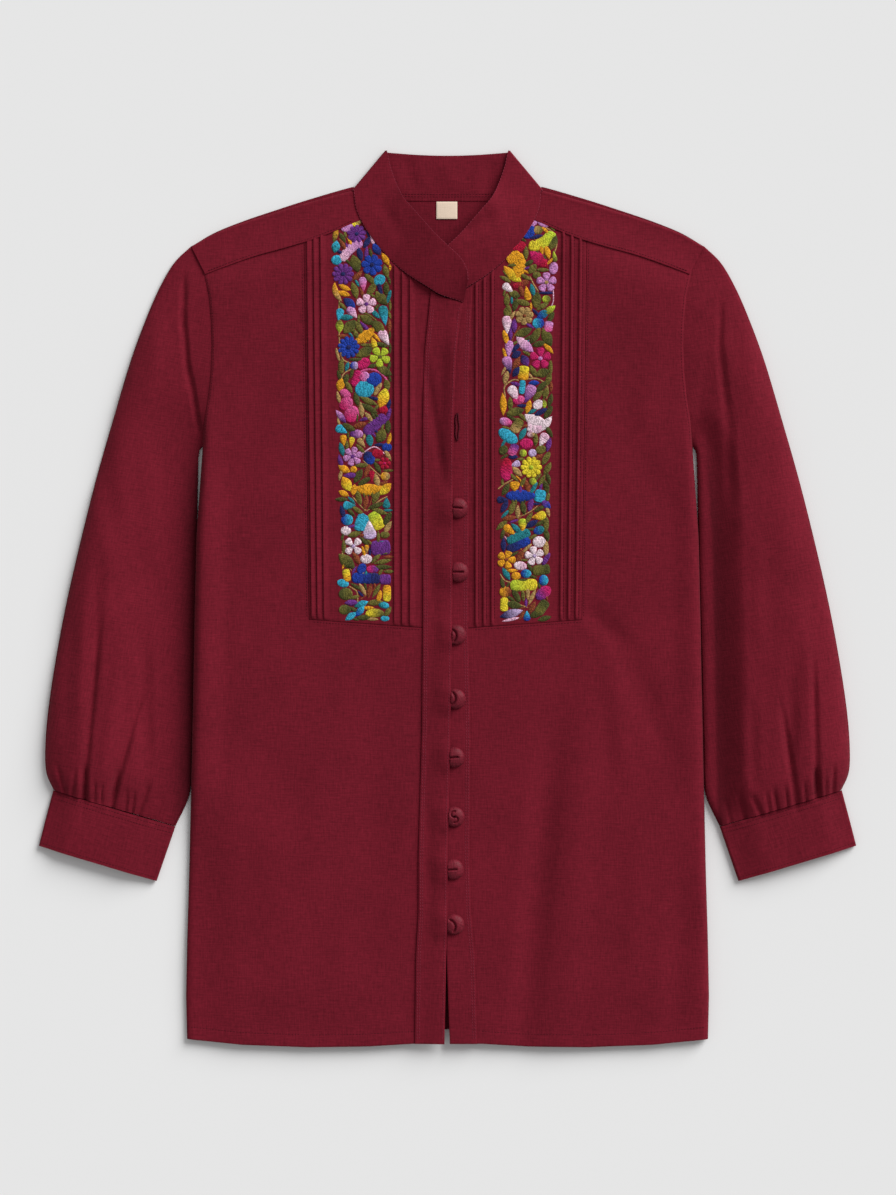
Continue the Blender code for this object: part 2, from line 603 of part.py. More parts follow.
def main():
    """Clear the scene and make the blouse."""
    for old in list(bpy.data.objects):
        bpy.data.objects.remove(old)
    cloth = make_material("burgundy_cloth", BURGUNDY)
    cover = make_material("button_cover", DEEP_BURGUNDY)
    tape = make_material("label_tape", BEIGE)
    pieces = [back(cloth), yoke(cloth), collar(cloth), placket_under(cloth), placket_top(cloth)]
    for side in (-1, 1):
        pieces += [front_panel(side, cloth), inset(side, cloth), cuff(side, cloth)]
        pieces += sleeve(side, cloth)
    pieces += [button(number, x, y, cover) for number, (x, y) in enumerate(BUTTONS, start=1)]
    pieces.append(neck_label(tape))
    blouse = bpy.data.objects.new("blouse", None)
    bpy.context.collection.objects.link(blouse)
    for piece in pieces:
        piece.parent = blouse


main()
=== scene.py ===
"""Looks of a long-sleeved blouse with a stand collar, laid flat on its back, and its studio.

Sizes are in millimetres and become metres where a mesh is written. +Y points to the neck,
+X to the right of someone who looks down on the front, +Z is up. A side is -1 or +1, and
t is the distance from the centre line towards that side.
"""
import logging
import math
from dataclasses import dataclass, field
from enum import Enum

import bpy
import numpy as np
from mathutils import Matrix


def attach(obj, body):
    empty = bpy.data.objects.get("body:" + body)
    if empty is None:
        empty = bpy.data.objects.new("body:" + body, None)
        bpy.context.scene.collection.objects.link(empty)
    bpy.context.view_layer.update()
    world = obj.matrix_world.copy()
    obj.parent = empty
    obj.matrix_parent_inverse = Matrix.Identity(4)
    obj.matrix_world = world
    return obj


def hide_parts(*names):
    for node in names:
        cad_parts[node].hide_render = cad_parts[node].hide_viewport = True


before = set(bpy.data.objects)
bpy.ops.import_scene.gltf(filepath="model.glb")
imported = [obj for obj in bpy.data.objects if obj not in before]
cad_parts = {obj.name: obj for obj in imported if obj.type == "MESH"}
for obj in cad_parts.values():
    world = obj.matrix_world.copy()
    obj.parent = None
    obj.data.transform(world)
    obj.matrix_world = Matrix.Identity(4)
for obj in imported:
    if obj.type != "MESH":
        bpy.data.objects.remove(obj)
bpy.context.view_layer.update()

logging.basicConfig(level=logging.INFO, format="%(message)s")
LOG = logging.getLogger("blouse")

MM = 0.001
CLOTH = 1.2            # one layer with its seam turnings
THIN = 0.9             # what the shell of one layer shows at its rims
DOUBLE = 1.4           # plackets
BAND = 1.8             # collar
GAP = 0.3
SEAM_GAP = 0.5
END_GAP = 1.2
LAP = 4.0
UNDERARM_Y, SHOULDER_TIP_Y, YOKE_END_Y = 133.0, 311.0, 288.8
BACK_HEM_Y, BACK_SEAM_Y = -380.0, 266.5
SHOULDER_TOP_Y, NECK_T = 360.0, 84.8
YOKE_LIFT, YOKE_ROOM = 0.2, 0.9

BODY_EDGE = (
    (-388.0, 229.7), (-350.0, 230.6), (-300.0, 229.6), (-240.0, 227.8), (-160.0, 226.0),
    (-80.0, 224.3), (-18.5, 223.2), (55.0, 221.5), (133.0, 216.0),
    (155.3, 214.1), (177.5, 210.6), (199.8, 208.4), (222.0, 207.6),
    (244.3, 208.2), (266.5, 210.2), (288.8, 215.2), (311.0, 226.5),
)
HEM = ((0.0, -392.0), (30.0, -392.0), (70.0, -394.4), (123.0, -395.1), (180.0, -393.0), (231.0, -388.0))
SHOULDER = ((84.8, 360.0), (120.0, 350.0), (150.0, 341.0), (180.0, 331.5), (205.0, 322.0), (226.5, 311.0))
YOKE_SEAM = ((77.0, 338.0), (102.0, 326.0), (125.0, 317.5), (160.0, 308.5), (183.0, 301.0), (215.2, 288.8))
NECK = ((-14.5, 260.5), (-8.0, 262.6), (0.0, 265.0), (8.0, 268.0), (20.0, 275.5), (34.0, 284.5),
        (46.0, 294.0), (57.0, 305.5), (71.0, 324.0), (80.0, 342.0), (84.0, 360.0))
BACK_NECK = ((0.0, 352.0), (45.0, 352.5), (74.0, 355.6), (84.8, 357.9))
INSET_BOTTOM = ((10.0, -26.7), (124.0, -18.5))
INSET_TOP_Y, LEAN_START = 318.0, 78.0
TUCKS = {-1: (32.6, 39.6, 46.5, 108.2, 113.8, 119.0), 1: (25.0, 32.0, 39.0, 99.5, 106.3, 113.0)}
INSET_EDGE = {-1: (121.8, 126.3), 1: (118.0, 122.5)}
PLACKET_TOP = (
    (-393.0, -2.7, -28.6), (-316.0, -1.2, -27.7), (-276.0, 0.0, -25.5), (-230.0, 0.0, -25.5),
    (-113.0, 2.6, -22.4), (-27.0, 4.0, -21.6), (86.0, 4.8, -21.6), (157.0, 5.4, -21.6),
    (215.0, 7.6, -20.2), (268.0, 13.4, -14.5),
)
PLACKET_UNDER = (
    (-393.0, 2.0, 26.2), (-316.0, -0.6, 24.2), (-276.0, -2.0, 20.7), (-230.0, -3.0, 19.4),
    (-113.0, -3.0, 20.2), (-27.0, -3.0, 18.2), (61.0, -3.0, 18.7), (200.0, -3.0, 18.9),
    (275.0, -3.0, 22.0),
)
BUTTONS = ((9.4, 79.6), (9.8, 23.3), (7.7, -31.7), (7.1, -88.1),
           (6.2, -139.5), (6.1, -191.8), (5.5, -238.0), (6.1, -286.4))


def srgb(red: float, green: float, blue: float) -> tuple:
    """Linear colour, with alpha, from sRGB parts of 0 to 255."""
    parts = [p / 255 for p in (red, green, blue)]
    return tuple(p / 12.92 if p <= 0.04045 else ((p + 0.055) / 1.055) ** 2.4 for p in parts) + (1.0,)


def lookup(table: tuple, value: np.ndarray, column: int = 1) -> np.ndarray:
    """Column of a table at a value of its first column, by straight lines."""
    rows = np.asarray(table)
    return np.interp(value, rows[:, 0], rows[:, column])


def ease(value: np.ndarray) -> np.ndarray:
    """Soft step: 3v^2 - 2v^3 with v held between 0 and 1."""
    value = np.clip(value, 0.0, 1.0)
    return value * value * (3.0 - 2.0 * value)


def roll(value: np.ndarray) -> np.ndarray:
    """Quarter circle from 0 at 0 to 1 at 1, upright at the start: sqrt(1 - (1 - v)^2)."""
    return np.sqrt(1.0 - (1.0 - np.clip(value, 0.0, 1.0)) ** 2)


def smooth(rows: np.ndarray, place: np.ndarray) -> np.ndarray:
    """Catmull-Rom curve through rows of any shape, at places counted in rows."""
    last = len(rows) - 1
    low = np.clip(np.floor(place).astype(int), 0, last - 1)
    f = (place - low).reshape((-1,) + (1,) * (rows.ndim - 1))
    p1, p2 = rows[low], rows[low + 1]
    p0 = np.where(low.reshape(f.shape) > 0, rows[np.maximum(low - 1, 0)], 2 * p1 - p2)
    p3 = np.where(low.reshape(f.shape) < last - 1, rows[np.minimum(low + 2, last)], 2 * p2 - p1)
    return 0.5 * (2 * p1 + (p2 - p0) * f + (2 * p0 - 5 * p1 + 4 * p2 - p3) * f**2
                  + (3 * p1 - p0 - 3 * p2 + p3) * f**3)


def refine(grid: np.ndarray, along: int, across: int) -> np.ndarray:
    """Denser grid of points, by curves through its rows and then through its columns."""
    rows = smooth(grid, np.linspace(0, grid.shape[0] - 1, (grid.shape[0] - 1) * along + 1))
    turned = rows.swapaxes(0, 1)
    columns = smooth(turned, np.linspace(0, grid.shape[1] - 1, (grid.shape[1] - 1) * across + 1))
    return columns.swapaxes(0, 1)


def shares(count: int, length: float) -> np.ndarray:
    """Steps from 0 to 1, even inside and close together at both ends of a length."""
    near = np.array([0.5, 1.4]) / length
    return np.unique(np.concatenate([np.linspace(0.0, 1.0, count), near, 1.0 - near]))


def points(x: np.ndarray, y: np.ndarray, z: np.ndarray) -> np.ndarray:
    """Array of points from three arrays of one shape."""
    return np.stack(np.broadcast_arrays(x, y, z), axis=-1).astype(float)


def normals(grid: np.ndarray) -> np.ndarray:
    """Unit normals of a grid of points, as columns' step crossed with rows' step."""
    normal = np.cross(np.gradient(grid, axis=1), np.gradient(grid, axis=0))
    return normal / np.maximum(np.linalg.norm(normal, axis=-1, keepdims=True), 1e-9)


def body_half(y: np.ndarray) -> np.ndarray:
    """Half width of the body at y."""
    return lookup(BODY_EDGE, y)


def segment_relief(x: np.ndarray, y: np.ndarray, rows: tuple, held: bool = False) -> np.ndarray:
    """Soft troughs and ridges along straight lines.

    Args:
        x, y: plan of the points.
        rows: start x, start y, end x, end y, half width, height at the middle.
        held: keeps the full height at the start instead of fading there.

    Returns:
        Sum over the lines of height * (1 - soft step of distance / half width), faded at the ends.
    """
    total = np.zeros(np.broadcast(x, y).shape)
    for x0, y0, x1, y1, half, height in rows:
        run = math.hypot(x1 - x0, y1 - y0)
        along = ((x - x0) * (x1 - x0) + (y - y0) * (y1 - y0)) / run**2
        across = np.abs((x - x0) * (y1 - y0) - (y - y0) * (x1 - x0)) / run
        start = ease((along + 0.2) / 0.2) if held else ease((along + 0.12) / 0.4)
        total = total + height * start * ease((1.12 - along) / 0.45) * (1.0 - ease(across / half))
    return total


def undulation(x: np.ndarray, y: np.ndarray, height: float, seed: int = 3) -> np.ndarray:
    """Slight waves of handled cloth: a sum of sines of 25 to 130 mm in spread-out directions."""
    rng = np.random.default_rng(seed)
    total = np.zeros(np.broadcast(x, y).shape)
    for _ in range(22):
        wave, turn, phase = rng.uniform(25, 130), rng.uniform(0, math.pi), rng.uniform(0, 6.28)
        total = total + wave / 130 * np.sin((x * math.cos(turn) + y * math.sin(turn)) * 6.283 / wave + phase)
    return height * total / 3.0


@dataclass(frozen=True)
class Lie:
    """How the front lies over the back: its height, folds and slight waves."""

    air: float = 7.0
    side_reach: float = 6.0
    top_reach: float = 60.0
    hem_reach: float = 60.0
    hem_drop: float = 0.30
    edge_hold: tuple = ((133.0, 0.0), (165.0, 0.8), (311.0, 0.8))
    folds: tuple = (
        (64.0, -410.0, 92.0, -110.0, 20.0, -3.4), (98.0, -400.0, 126.0, -50.0, 24.0, 2.2),
        (119.0, -6.0, 160.0, -45.0, 15.0, -1.9), (158.0, -38.0, 196.0, -150.0, 20.0, -1.9),
        (140.0, -40.0, 160.0, -170.0, 16.0, 1.3), (-223.0, -150.0, -218.0, -420.0, 38.0, -3.6),
        (-150.0, -180.0, -140.0, -390.0, 34.0, 1.2), (206.0, -230.0, 200.0, -400.0, 20.0, -1.9),
        (-60.0, -60.0, -70.0, -360.0, 30.0, -1.2), (150.0, 180.0, 196.0, 60.0, 24.0, -1.3),
        (-150.0, 200.0, -195.0, 80.0, 24.0, -1.1), (190.0, 250.0, 165.0, 120.0, 18.0, 0.9),
        (-212.0, 150.0, -217.0, -200.0, 22.0, 4.6), (213.0, 150.0, 217.0, -200.0, 18.0, 2.0),
        (170.0, -200.0, 160.0, -340.0, 18.0, 0.9), (-110.0, -120.0, -118.0, -300.0, 24.0, 0.9),
    )

    def under(self, x: np.ndarray, y: np.ndarray) -> np.ndarray:
        """Height of the front's underside: room * side * shoulder * hem shares, plus its rest."""
        hold = lookup(self.edge_hold, y)
        side = hold + (1.0 - hold) * roll((body_half(y) - np.abs(x)) / self.side_reach)
        hem = 1.0 - self.hem_drop * ease(1.0 - (y - lookup(HEM, np.abs(x))) / self.hem_reach)
        shoulder = np.where(np.abs(x) < NECK_T, SHOULDER_TOP_Y, lookup(SHOULDER, np.abs(x)))
        top = ease((shoulder - y) / self.top_reach)
        relief = segment_relief(x, y, self.folds) + undulation(x, y, 0.35)
        return CLOTH + GAP + (self.air + relief) * side * top * hem

    def top(self, x: np.ndarray, y: np.ndarray) -> np.ndarray:
        """Height of the front's upper side."""
        return self.under(x, y) + CLOTH


LIE = Lie()


def shell(outer: np.ndarray, inner: np.ndarray, tube: bool = False, keep: np.ndarray = None) -> tuple:
    """Closed wall between two grids of points, with rims along every open edge.

    Args:
        outer, inner: grids of points, rows by columns by three.
        tube: closes the wall on itself along its columns.
        keep: which squares exist.

    Returns:
        Points and four-cornered faces, facing outwards, as arrays.
    """
    rows, columns = outer.shape[:2]
    count = rows * columns
    index = np.arange(count).reshape(rows, columns)
    right = np.roll(index, -1, axis=1)
    last = columns if tube else columns - 1
    corners = (index[:-1, :last], right[:-1, :last], right[1:, :last], index[1:, :last])
    faces = np.stack(corners, axis=-1)
    faces = faces[keep] if keep is not None else faces.reshape(-1, 4)
    start, stop = faces.ravel(), np.roll(faces, -1, axis=1).ravel()
    open_edge = ~np.isin(start * count + stop, stop * count + start)
    a, b = start[open_edge], stop[open_edge]
    rims = np.stack([b, a, a + count, b + count], axis=-1)
    faces = np.concatenate([faces, faces[:, ::-1] + count, rims])
    used, faces = np.unique(faces, return_inverse=True)
    verts = np.concatenate([outer.reshape(-1, 3), inner.reshape(-1, 3)])[used]
    faces = faces.reshape(-1, 4)
    p = verts[faces]
    volume = np.einsum("ij,ij->i", np.cross(p[:, 1] - p[:, 0], p[:, 2] - p[:, 0]), p[:, 0]).sum()
    volume += np.einsum("ij,ij->i", np.cross(p[:, 2] - p[:, 0], p[:, 3] - p[:, 0]), p[:, 0]).sum()
    return verts, (faces if volume > 0 else faces[:, ::-1])


def softened(outer: np.ndarray, drop: float = 0.35) -> np.ndarray:
    """Grid whose outermost lines sink a little, as a turned edge does."""
    fall = np.zeros(outer.shape[:2])
    for line, share in ((0, 1.0), (1, 0.3), (-1, 1.0), (-2, 0.3)):
        fall[line] = np.maximum(fall[line], share)
        fall[:, line] = np.maximum(fall[:, line], share)
    return outer - np.stack([0 * fall, 0 * fall, drop * fall], axis=-1)


@dataclass
class Piece:
    """One mesh of the blouse, from arrays."""

    name: str
    verts: np.ndarray
    faces: np.ndarray
    material: bpy.types.Material
    slot: str
    nodes: tuple = ()
    grain: float = 0.0          # turn of the cloth's grain, in degrees
    colours: np.ndarray = None
    uv: np.ndarray = None
    sharp: float = 50.0

    def build(self) -> bpy.types.Object:
        """Mesh object with its map of the cloth, riding on the frame."""
        mesh = bpy.data.meshes.new(self.name)
        count = len(self.faces)
        mesh.vertices.add(len(self.verts))
        mesh.vertices.foreach_set("co", (self.verts * MM).ravel())
        mesh.loops.add(4 * count)
        mesh.loops.foreach_set("vertex_index", np.ascontiguousarray(self.faces).ravel())
        mesh.polygons.add(count)
        mesh.polygons.foreach_set("loop_start", np.arange(0, 4 * count, 4))
        mesh.update(calc_edges=True)
        turn = math.radians(self.grain)
        flat = self.uv
        if flat is None:
            x, y = self.verts[:, 0], self.verts[:, 1]
            flat = np.stack([x * math.cos(turn) - y * math.sin(turn),
                             x * math.sin(turn) + y * math.cos(turn)], axis=-1)
        layer = mesh.uv_layers.new(name="grain")
        layer.data.foreach_set("uv", (flat[self.faces.ravel()] * MM).ravel())
        # Point colours: the yarns' own colours on the embroidery, the cloth darkened by painted shade on the
        # sleeves.
        if self.colours is not None:
            shade = mesh.color_attributes.new("thread", "FLOAT_COLOR", "POINT")
            shade.data.foreach_set("color", self.colours.ravel())
        mesh.materials.append(self.material)
        mesh.shade_smooth()
        mesh.set_sharp_from_angle(angle=math.radians(self.sharp))
        body = bpy.data.objects.new(self.name, mesh)
        bpy.context.scene.collection.objects.link(body)
        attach(body, "root")
        if self.nodes:
            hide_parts(*self.nodes)
        LOG.info("%s: %d quads", self.name, count)
        return body


def declare_sheet(body: bpy.types.Object, grid: np.ndarray, tube: bool = False) -> None:
    """States the cut of a laid piece.

    The cut's width and length are the longest row and column of its grid of points, all round
    on a tube, and its area is half the surface of its closed shell.

    Args:
        body: the piece.
        grid: its points in millimetres, rows by columns by three.
        tube: whether its rows close on themselves.
    """
    areas = np.zeros(len(body.data.polygons))
    body.data.polygons.foreach_get("area", areas)
    flat_area = float(areas.sum()) / 2
    around = np.concatenate([grid, grid[:, :1]], axis=1) if tube else grid
    width = float(np.linalg.norm(np.diff(around, axis=1), axis=2).sum(axis=1).max()) * MM
    length = float(np.linalg.norm(np.diff(grid, axis=0), axis=2).sum(axis=0).max()) * MM
    scale = max(1.0, math.sqrt(flat_area / (width * length)))
    flat = (round(width * scale + 0.0005, 3), round(length * scale + 0.0005, 3))
    LOG.info("%s: cut %.3f x %.3f m, %.4f m2", body.name, *flat, flat_area)


# Finishes

class Tree:
    """Small helper that adds nodes to a node tree and joins them."""

    def __init__(self, tree: bpy.types.NodeTree) -> None:
        """Keeps the tree."""
        self.tree = tree

    def add(self, kind: str, inputs: dict = None, **settings: object) -> bpy.types.Node:
        """New node with settings, and inputs as values or as sockets to link from."""
        node = self.tree.nodes.new(kind)
        for key, value in settings.items():
            setattr(node, key, value)
        for key, value in (inputs or {}).items():
            if isinstance(value, bpy.types.NodeSocket):
                self.tree.links.new(value, node.inputs[key])
            else:
                node.inputs[key].default_value = value
        return node

    def maths(self, operation: str, first: object, second: object = 0.0) -> bpy.types.NodeSocket:
        """Result of a math node."""
        return self.add("ShaderNodeMath", {0: first, 1: second}, operation=operation).outputs[0]

    def stretched(self, vector: object, x: float, y: float) -> bpy.types.NodeSocket:
        """Vector with its parts scaled."""
        return self.add("ShaderNodeVectorMath", {0: vector, 1: (x, y, 1.0)}, operation="MULTIPLY").outputs[0]


def new_group(name: str, inputs: tuple, outputs: tuple) -> tuple:
    """Shader node group with named sockets of (name, kind, value), and its two end nodes."""
    group = bpy.data.node_groups.new(name, "ShaderNodeTree")
    for label, kind, value in inputs:
        socket = group.interface.new_socket(label, in_out="INPUT", socket_type=kind)
        if value is not None:
            socket.default_value = value
    for label, kind in outputs:
        group.interface.new_socket(label, in_out="OUTPUT", socket_type=kind)
    return Tree(group), group.nodes.new("NodeGroupInput"), group.nodes.new("NodeGroupOutput")


def weave_group() -> bpy.types.NodeTree:
    """Plain weave with slubs: noise drawn out along each grain gives a shade factor and a height."""
    inputs = (("Vector", "NodeSocketVector", None), ("Contrast", "NodeSocketFloat", 0.3))
    outputs = (("Shade", "NodeSocketFloat"), ("Height", "NodeSocketFloat"))
    tree, start, end = new_group("plain_weave", inputs, outputs)
    vector = start.outputs["Vector"]
    parts = []
    for x, y in ((75.0, 900.0), (900.0, 75.0), (420.0, 420.0)):
        noise = tree.add("ShaderNodeTexNoise", {"Vector": tree.stretched(vector, x, y), "Scale": 1.0,
                                                "Detail": 2.0, "Roughness": 0.6})
        parts.append(tree.maths("SUBTRACT", noise.outputs["Fac"], 0.5))
    broad = tree.add("ShaderNodeTexNoise", {"Vector": vector, "Scale": 16.0, "Detail": 3.0})
    wide = tree.maths("MULTIPLY", tree.maths("SUBTRACT", broad.outputs["Fac"], 0.5), 0.5)
    threads = tree.maths("ADD", tree.maths("ADD", parts[0], parts[1]), tree.maths("MULTIPLY", parts[2], 0.7))
    total = tree.maths("MULTIPLY", tree.maths("ADD", threads, wide), start.outputs["Contrast"])
    tree.tree.links.new(tree.maths("ADD", total, 1.0), end.inputs["Shade"])
    tree.tree.links.new(tree.maths("ADD", threads, 0.5), end.inputs["Height"])
    return tree.tree


def stitch_group() -> bpy.types.NodeTree:
    """Filling stitches: stretched cells, each with its own tone, rounded at its edges, and darker towards
    their edges as painted shade between the stitches.
    """
    inputs = (("Vector", "NodeSocketVector", None), ("Contrast", "NodeSocketFloat", 0.5))
    tree, start, end = new_group("filling_stitches", inputs,
                                 (("Shade", "NodeSocketFloat"), ("Height", "NodeSocketFloat")))
    vector = tree.stretched(start.outputs["Vector"], 620.0, 1250.0)
    cells = tree.add("ShaderNodeTexVoronoi", {"Vector": vector, "Scale": 1.0, "Randomness": 0.9})
    own = tree.add("ShaderNodeSeparateColor", {"Color": cells.outputs["Color"]}).outputs[0]
    edge = tree.maths("SUBTRACT", 0.55, cells.outputs["Distance"])
    # The colour takes each cell's own tone plus its rounding, which paints shade into the grooves between
    # stitches.
    mixed = tree.maths("ADD", tree.maths("SUBTRACT", own, 0.5), edge)
    total = tree.maths("MULTIPLY", mixed, start.outputs["Contrast"])
    tree.tree.links.new(tree.maths("ADD", total, 0.95), end.inputs["Shade"])
    tree.tree.links.new(edge, end.inputs["Height"])
    return tree.tree


@dataclass(frozen=True)
class Finish:
    """Matte surface of threads, with its texture from a node group and its map of the cloth."""

    name: str
    base: tuple
    roughness: float = 0.85
    contrast: float = 0.7
    bump: float = 0.5
    depth: float = 0.0003
    sheen: float = 0.03
    gloss: float = 0.06
    attribute: str = ""

    def build(self, group: bpy.types.NodeTree) -> bpy.types.Material:
        """Principled material that multiplies its colour by the group's shade.

        Args:
            group: node group with the outputs Shade and Height.

        Returns:
            The material.
        """
        material = bpy.data.materials.new(self.name)
        material.use_nodes = True
        material.diffuse_color = self.base
        tree = Tree(material.node_tree)
        shader = material.node_tree.nodes["Principled BSDF"]
        place = tree.add("ShaderNodeUVMap", uv_map="grain").outputs[0]
        texture = tree.add("ShaderNodeGroup", node_tree=group)
        tree.tree.links.new(place, texture.inputs["Vector"])
        texture.inputs["Contrast"].default_value = self.contrast
        colour = self.base
        # On the sleeves the attribute holds the cloth colour with painted shade; on the embroidery it holds
        # the yarns' own colours.
        if self.attribute:
            colour = tree.add("ShaderNodeAttribute", attribute_name=self.attribute).outputs["Color"]
        shaded = tree.add("ShaderNodeVectorMath", {0: colour if self.attribute else self.base[:3]},
                          operation="SCALE")
        tree.tree.links.new(texture.outputs["Shade"], shaded.inputs["Scale"])
        tree.tree.links.new(shaded.outputs[0], shader.inputs["Base Color"])
        bump = tree.add("ShaderNodeBump", {"Strength": self.bump, "Distance": self.depth,
                                           "Height": texture.outputs["Height"]})
        tree.tree.links.new(bump.outputs[0], shader.inputs["Normal"])
        shader.inputs["Roughness"].default_value = self.roughness
        shader.inputs["Specular IOR Level"].default_value = self.gloss
        shader.inputs["Sheen Weight"].default_value = self.sheen
        shader.inputs["Sheen Roughness"].default_value = 0.5
        return material


BURGUNDY = (0.143, 0.0082, 0.0180, 1.0)


@dataclass
class Finishes:
    """Every material of the blouse."""

    weave: bpy.types.NodeTree = field(default_factory=weave_group)
    filling: bpy.types.NodeTree = field(default_factory=stitch_group)

    def __post_init__(self) -> None:
        """Builds the materials."""
        burgundy = BURGUNDY
        self.cloth = Finish("burgundy_cloth", burgundy).build(self.weave)
        # A darker copy of the same cloth for the back, painted shade for where it lies under the front.
        self.inside = Finish("burgundy_back_painted_shade", (0.105, 0.0085, 0.017, 1.0)).build(self.weave)
        # Sleeve cloth whose colour comes from the point colours, which hold painted shade beside the body.
        self.sleeve = Finish("burgundy_sleeve_painted_shade", burgundy, attribute="thread").build(self.weave)
        self.cover = Finish("button_cover", (0.138, 0.0085, 0.0185, 1.0), 0.5, 0.9, 0.7, 0.0004,
                            0.02, 0.14).build(self.weave)
        # Paler thread: real on the plackets; on the collar's edges it also stands in for a painted highlight
        # along the rim.
        self.edging = Finish("pale_thread_and_painted_highlight", (0.215, 0.028, 0.050, 1.0), 0.6, 0.2, 0.2).build(self.weave)
        self.seam = Finish("seam_thread", (0.080, 0.0060, 0.0125, 1.0), 0.6, 0.2, 0.2).build(self.weave)
        self.tape = Finish("label_tape", srgb(231, 209, 188), 0.75, 0.12, 0.2).build(self.weave)
        self.yarn = Finish("embroidery_yarn", (0.5, 0.3, 0.5, 1.0), 0.7, 0.75, 0.8, 0.0007, 0.1,
                           attribute="thread").build(self.filling)


# Cloth pieces

def side_name(side: int) -> str:
    """Name of a side as seen from above."""
    return "left" if side < 0 else "right"


def placket_line(side: int, y: np.ndarray) -> np.ndarray:
    """t where the cloth of a front ends, under the placket that covers its edge."""
    return side * lookup(PLACKET_TOP if side < 0 else PLACKET_UNDER, y, 2) - LAP


def front_top(t: np.ndarray) -> np.ndarray:
    """Upper edge of the front: the neck seam, or the seam under the yoke."""
    return np.minimum(lookup(NECK, t) - SEAM_GAP, lookup(YOKE_SEAM, t))


def inset_edge(side: int, y: np.ndarray) -> np.ndarray:
    """Outer edge of a tucked inset."""
    low, high = INSET_EDGE[side]
    start = INSET_BOTTOM[1][1]
    return low + (high - low) * (y - start) / (INSET_TOP_Y - start)


def laid(outer: np.ndarray, thick: float = THIN, keep: np.ndarray = None) -> tuple:
    """Shell under a grid of points, as thick as the cloth, square to it."""
    return shell(outer, outer - thick * np.abs(normals(outer)) * np.array([0, 0, 1.0]), keep=keep)


@dataclass
class FrontPanel:
    """Front beside and below the tucked inset, from the side seam to the placket."""

    side: int
    finishes: Finishes

    def grid(self) -> tuple:
        """Plan of the panel as shares between its edges, and which squares exist.

        Returns:
            x and y of every point, and the mask of squares.
        """
        out = shares(40, 95.0)[::-1]
        inner = shares(36, 95.0)[::-1][1:]
        low, high = shares(120, 370.0), shares(95, 300.0)[1:]
        t = np.zeros((len(low) + len(high), len(out) + len(inner)))
        y = np.zeros_like(t) + np.concatenate([-390 + 370 * low, -20 + 300 * high])[:, None]
        for _ in range(5):
            edge, seam = inset_edge(self.side, y), placket_line(self.side, y)
            beside = edge + GAP + (body_half(y) - edge - GAP) * np.append(out, inner)[None, :]
            t[:, :len(out)] = beside[:, :len(out)]
            t[:, len(out):] = (seam + (edge + GAP - seam) * np.append(out, inner)[None, :])[:, len(out):]
            bottom, top, hem = lookup(INSET_BOTTOM, t), front_top(t), lookup(HEM, t)
            y[:len(low)] = (hem + (bottom - hem) * np.append(low, high)[:, None])[:len(low)]
            y[len(low):] = (bottom + (top - bottom) * np.append(low, high)[:, None])[len(low):]
        keep = np.ones((t.shape[0] - 1, t.shape[1] - 1), dtype=bool)
        keep[len(low) - 1:, len(out) - 1:] = False
        return self.side * t, y, keep

    def build(self) -> bpy.types.Object:
        """Panel with a narrow hem fold."""
        x, y, keep = self.grid()
        z = LIE.top(x, y)
        above_hem = y - lookup(HEM, np.abs(x))
        z = z + 0.25 * (1 - ease((above_hem - 9.0) / 2.0)) - 0.3 * np.exp(-((above_hem - 11.0) / 1.2) ** 2)
        grid = softened(points(x, y, z))
        verts, faces = laid(grid, keep=keep)
        name = side_name(self.side)
        body = Piece(f"front_panel_{name}", verts, faces, self.finishes.cloth, "burgundy_cloth",
                     (f"front_{name}",)).build()
        declare_sheet(body, grid)
        return body


@dataclass
class Inset:
    """Tucked inset: pleats stitched down in two groups of three, with room for a band between."""

    side: int
    finishes: Finishes
    pleat: float = 1.7

    def tuck_height(self, across: np.ndarray) -> np.ndarray:
        """Section of one pleat, from its distance to the tuck's line in +X."""
        if self.side < 0:
            return self.pleat * np.interp(across, (-1.1, -0.5, -0.1, 4.2), (0, 0.95, 1.0, 0.0))
        return self.pleat * np.interp(across, (-1.3, -0.6, 0.2, 0.9, 1.7), (0, 0.9, 1.0, 0.8, 0.0))

    def build(self) -> bpy.types.Object:
        """Inset with its pleats along columns that lean with its outer edge."""
        edge, seam = INSET_EDGE[self.side][0], float(placket_line(self.side, np.array(0.0)))
        near = np.array([-1.5, -1.1, -0.8, -0.5, -0.1, 0.4, 0.9, 1.7, 3.0, 4.3]) * self.side
        tucks = np.array(TUCKS[self.side])
        base = seam + (edge - seam) * shares(46, edge - seam)
        base = base[np.abs(base[:, None] - tucks).min(axis=1) > 1.9]
        start = np.concatenate([base, (tucks[:, None] + near).ravel()])
        start = np.sort(start[(start >= seam) & (start <= edge)])[::-1]
        bottom = lookup(INSET_BOTTOM, start) + GAP
        rows = shares(95, 300.0)[:, None]
        lean = np.clip((start - LEAN_START) / (edge - LEAN_START), 0.0, 1.0)
        y = bottom + (INSET_TOP_Y - bottom) * rows
        for _ in range(4):
            t = start + (inset_edge(self.side, y) - edge) * lean
            t[:, -1] = placket_line(self.side, y[:, -1])
            y = bottom + (front_top(t) - bottom) * rows
        x = self.side * t
        offset = self.side * (start[:, None] - tucks)
        ridge = np.max(self.tuck_height(offset), axis=1)
        ends = ease(rows / 0.008) * ease((1 - rows) / 0.008)
        sway = 0.12 * undulation(x * 3, y, 1.0, 9)
        z = LIE.top(x, y) + ridge * ends * (1 + sway)
        grid = softened(points(x, y, z))
        verts, faces = laid(grid)
        name = side_name(self.side)
        body = Piece(f"tucked_inset_{name}", verts, faces, self.finishes.cloth, "burgundy_cloth",
                     (f"inset_{name}",)).build()
        declare_sheet(body, grid)
        return body


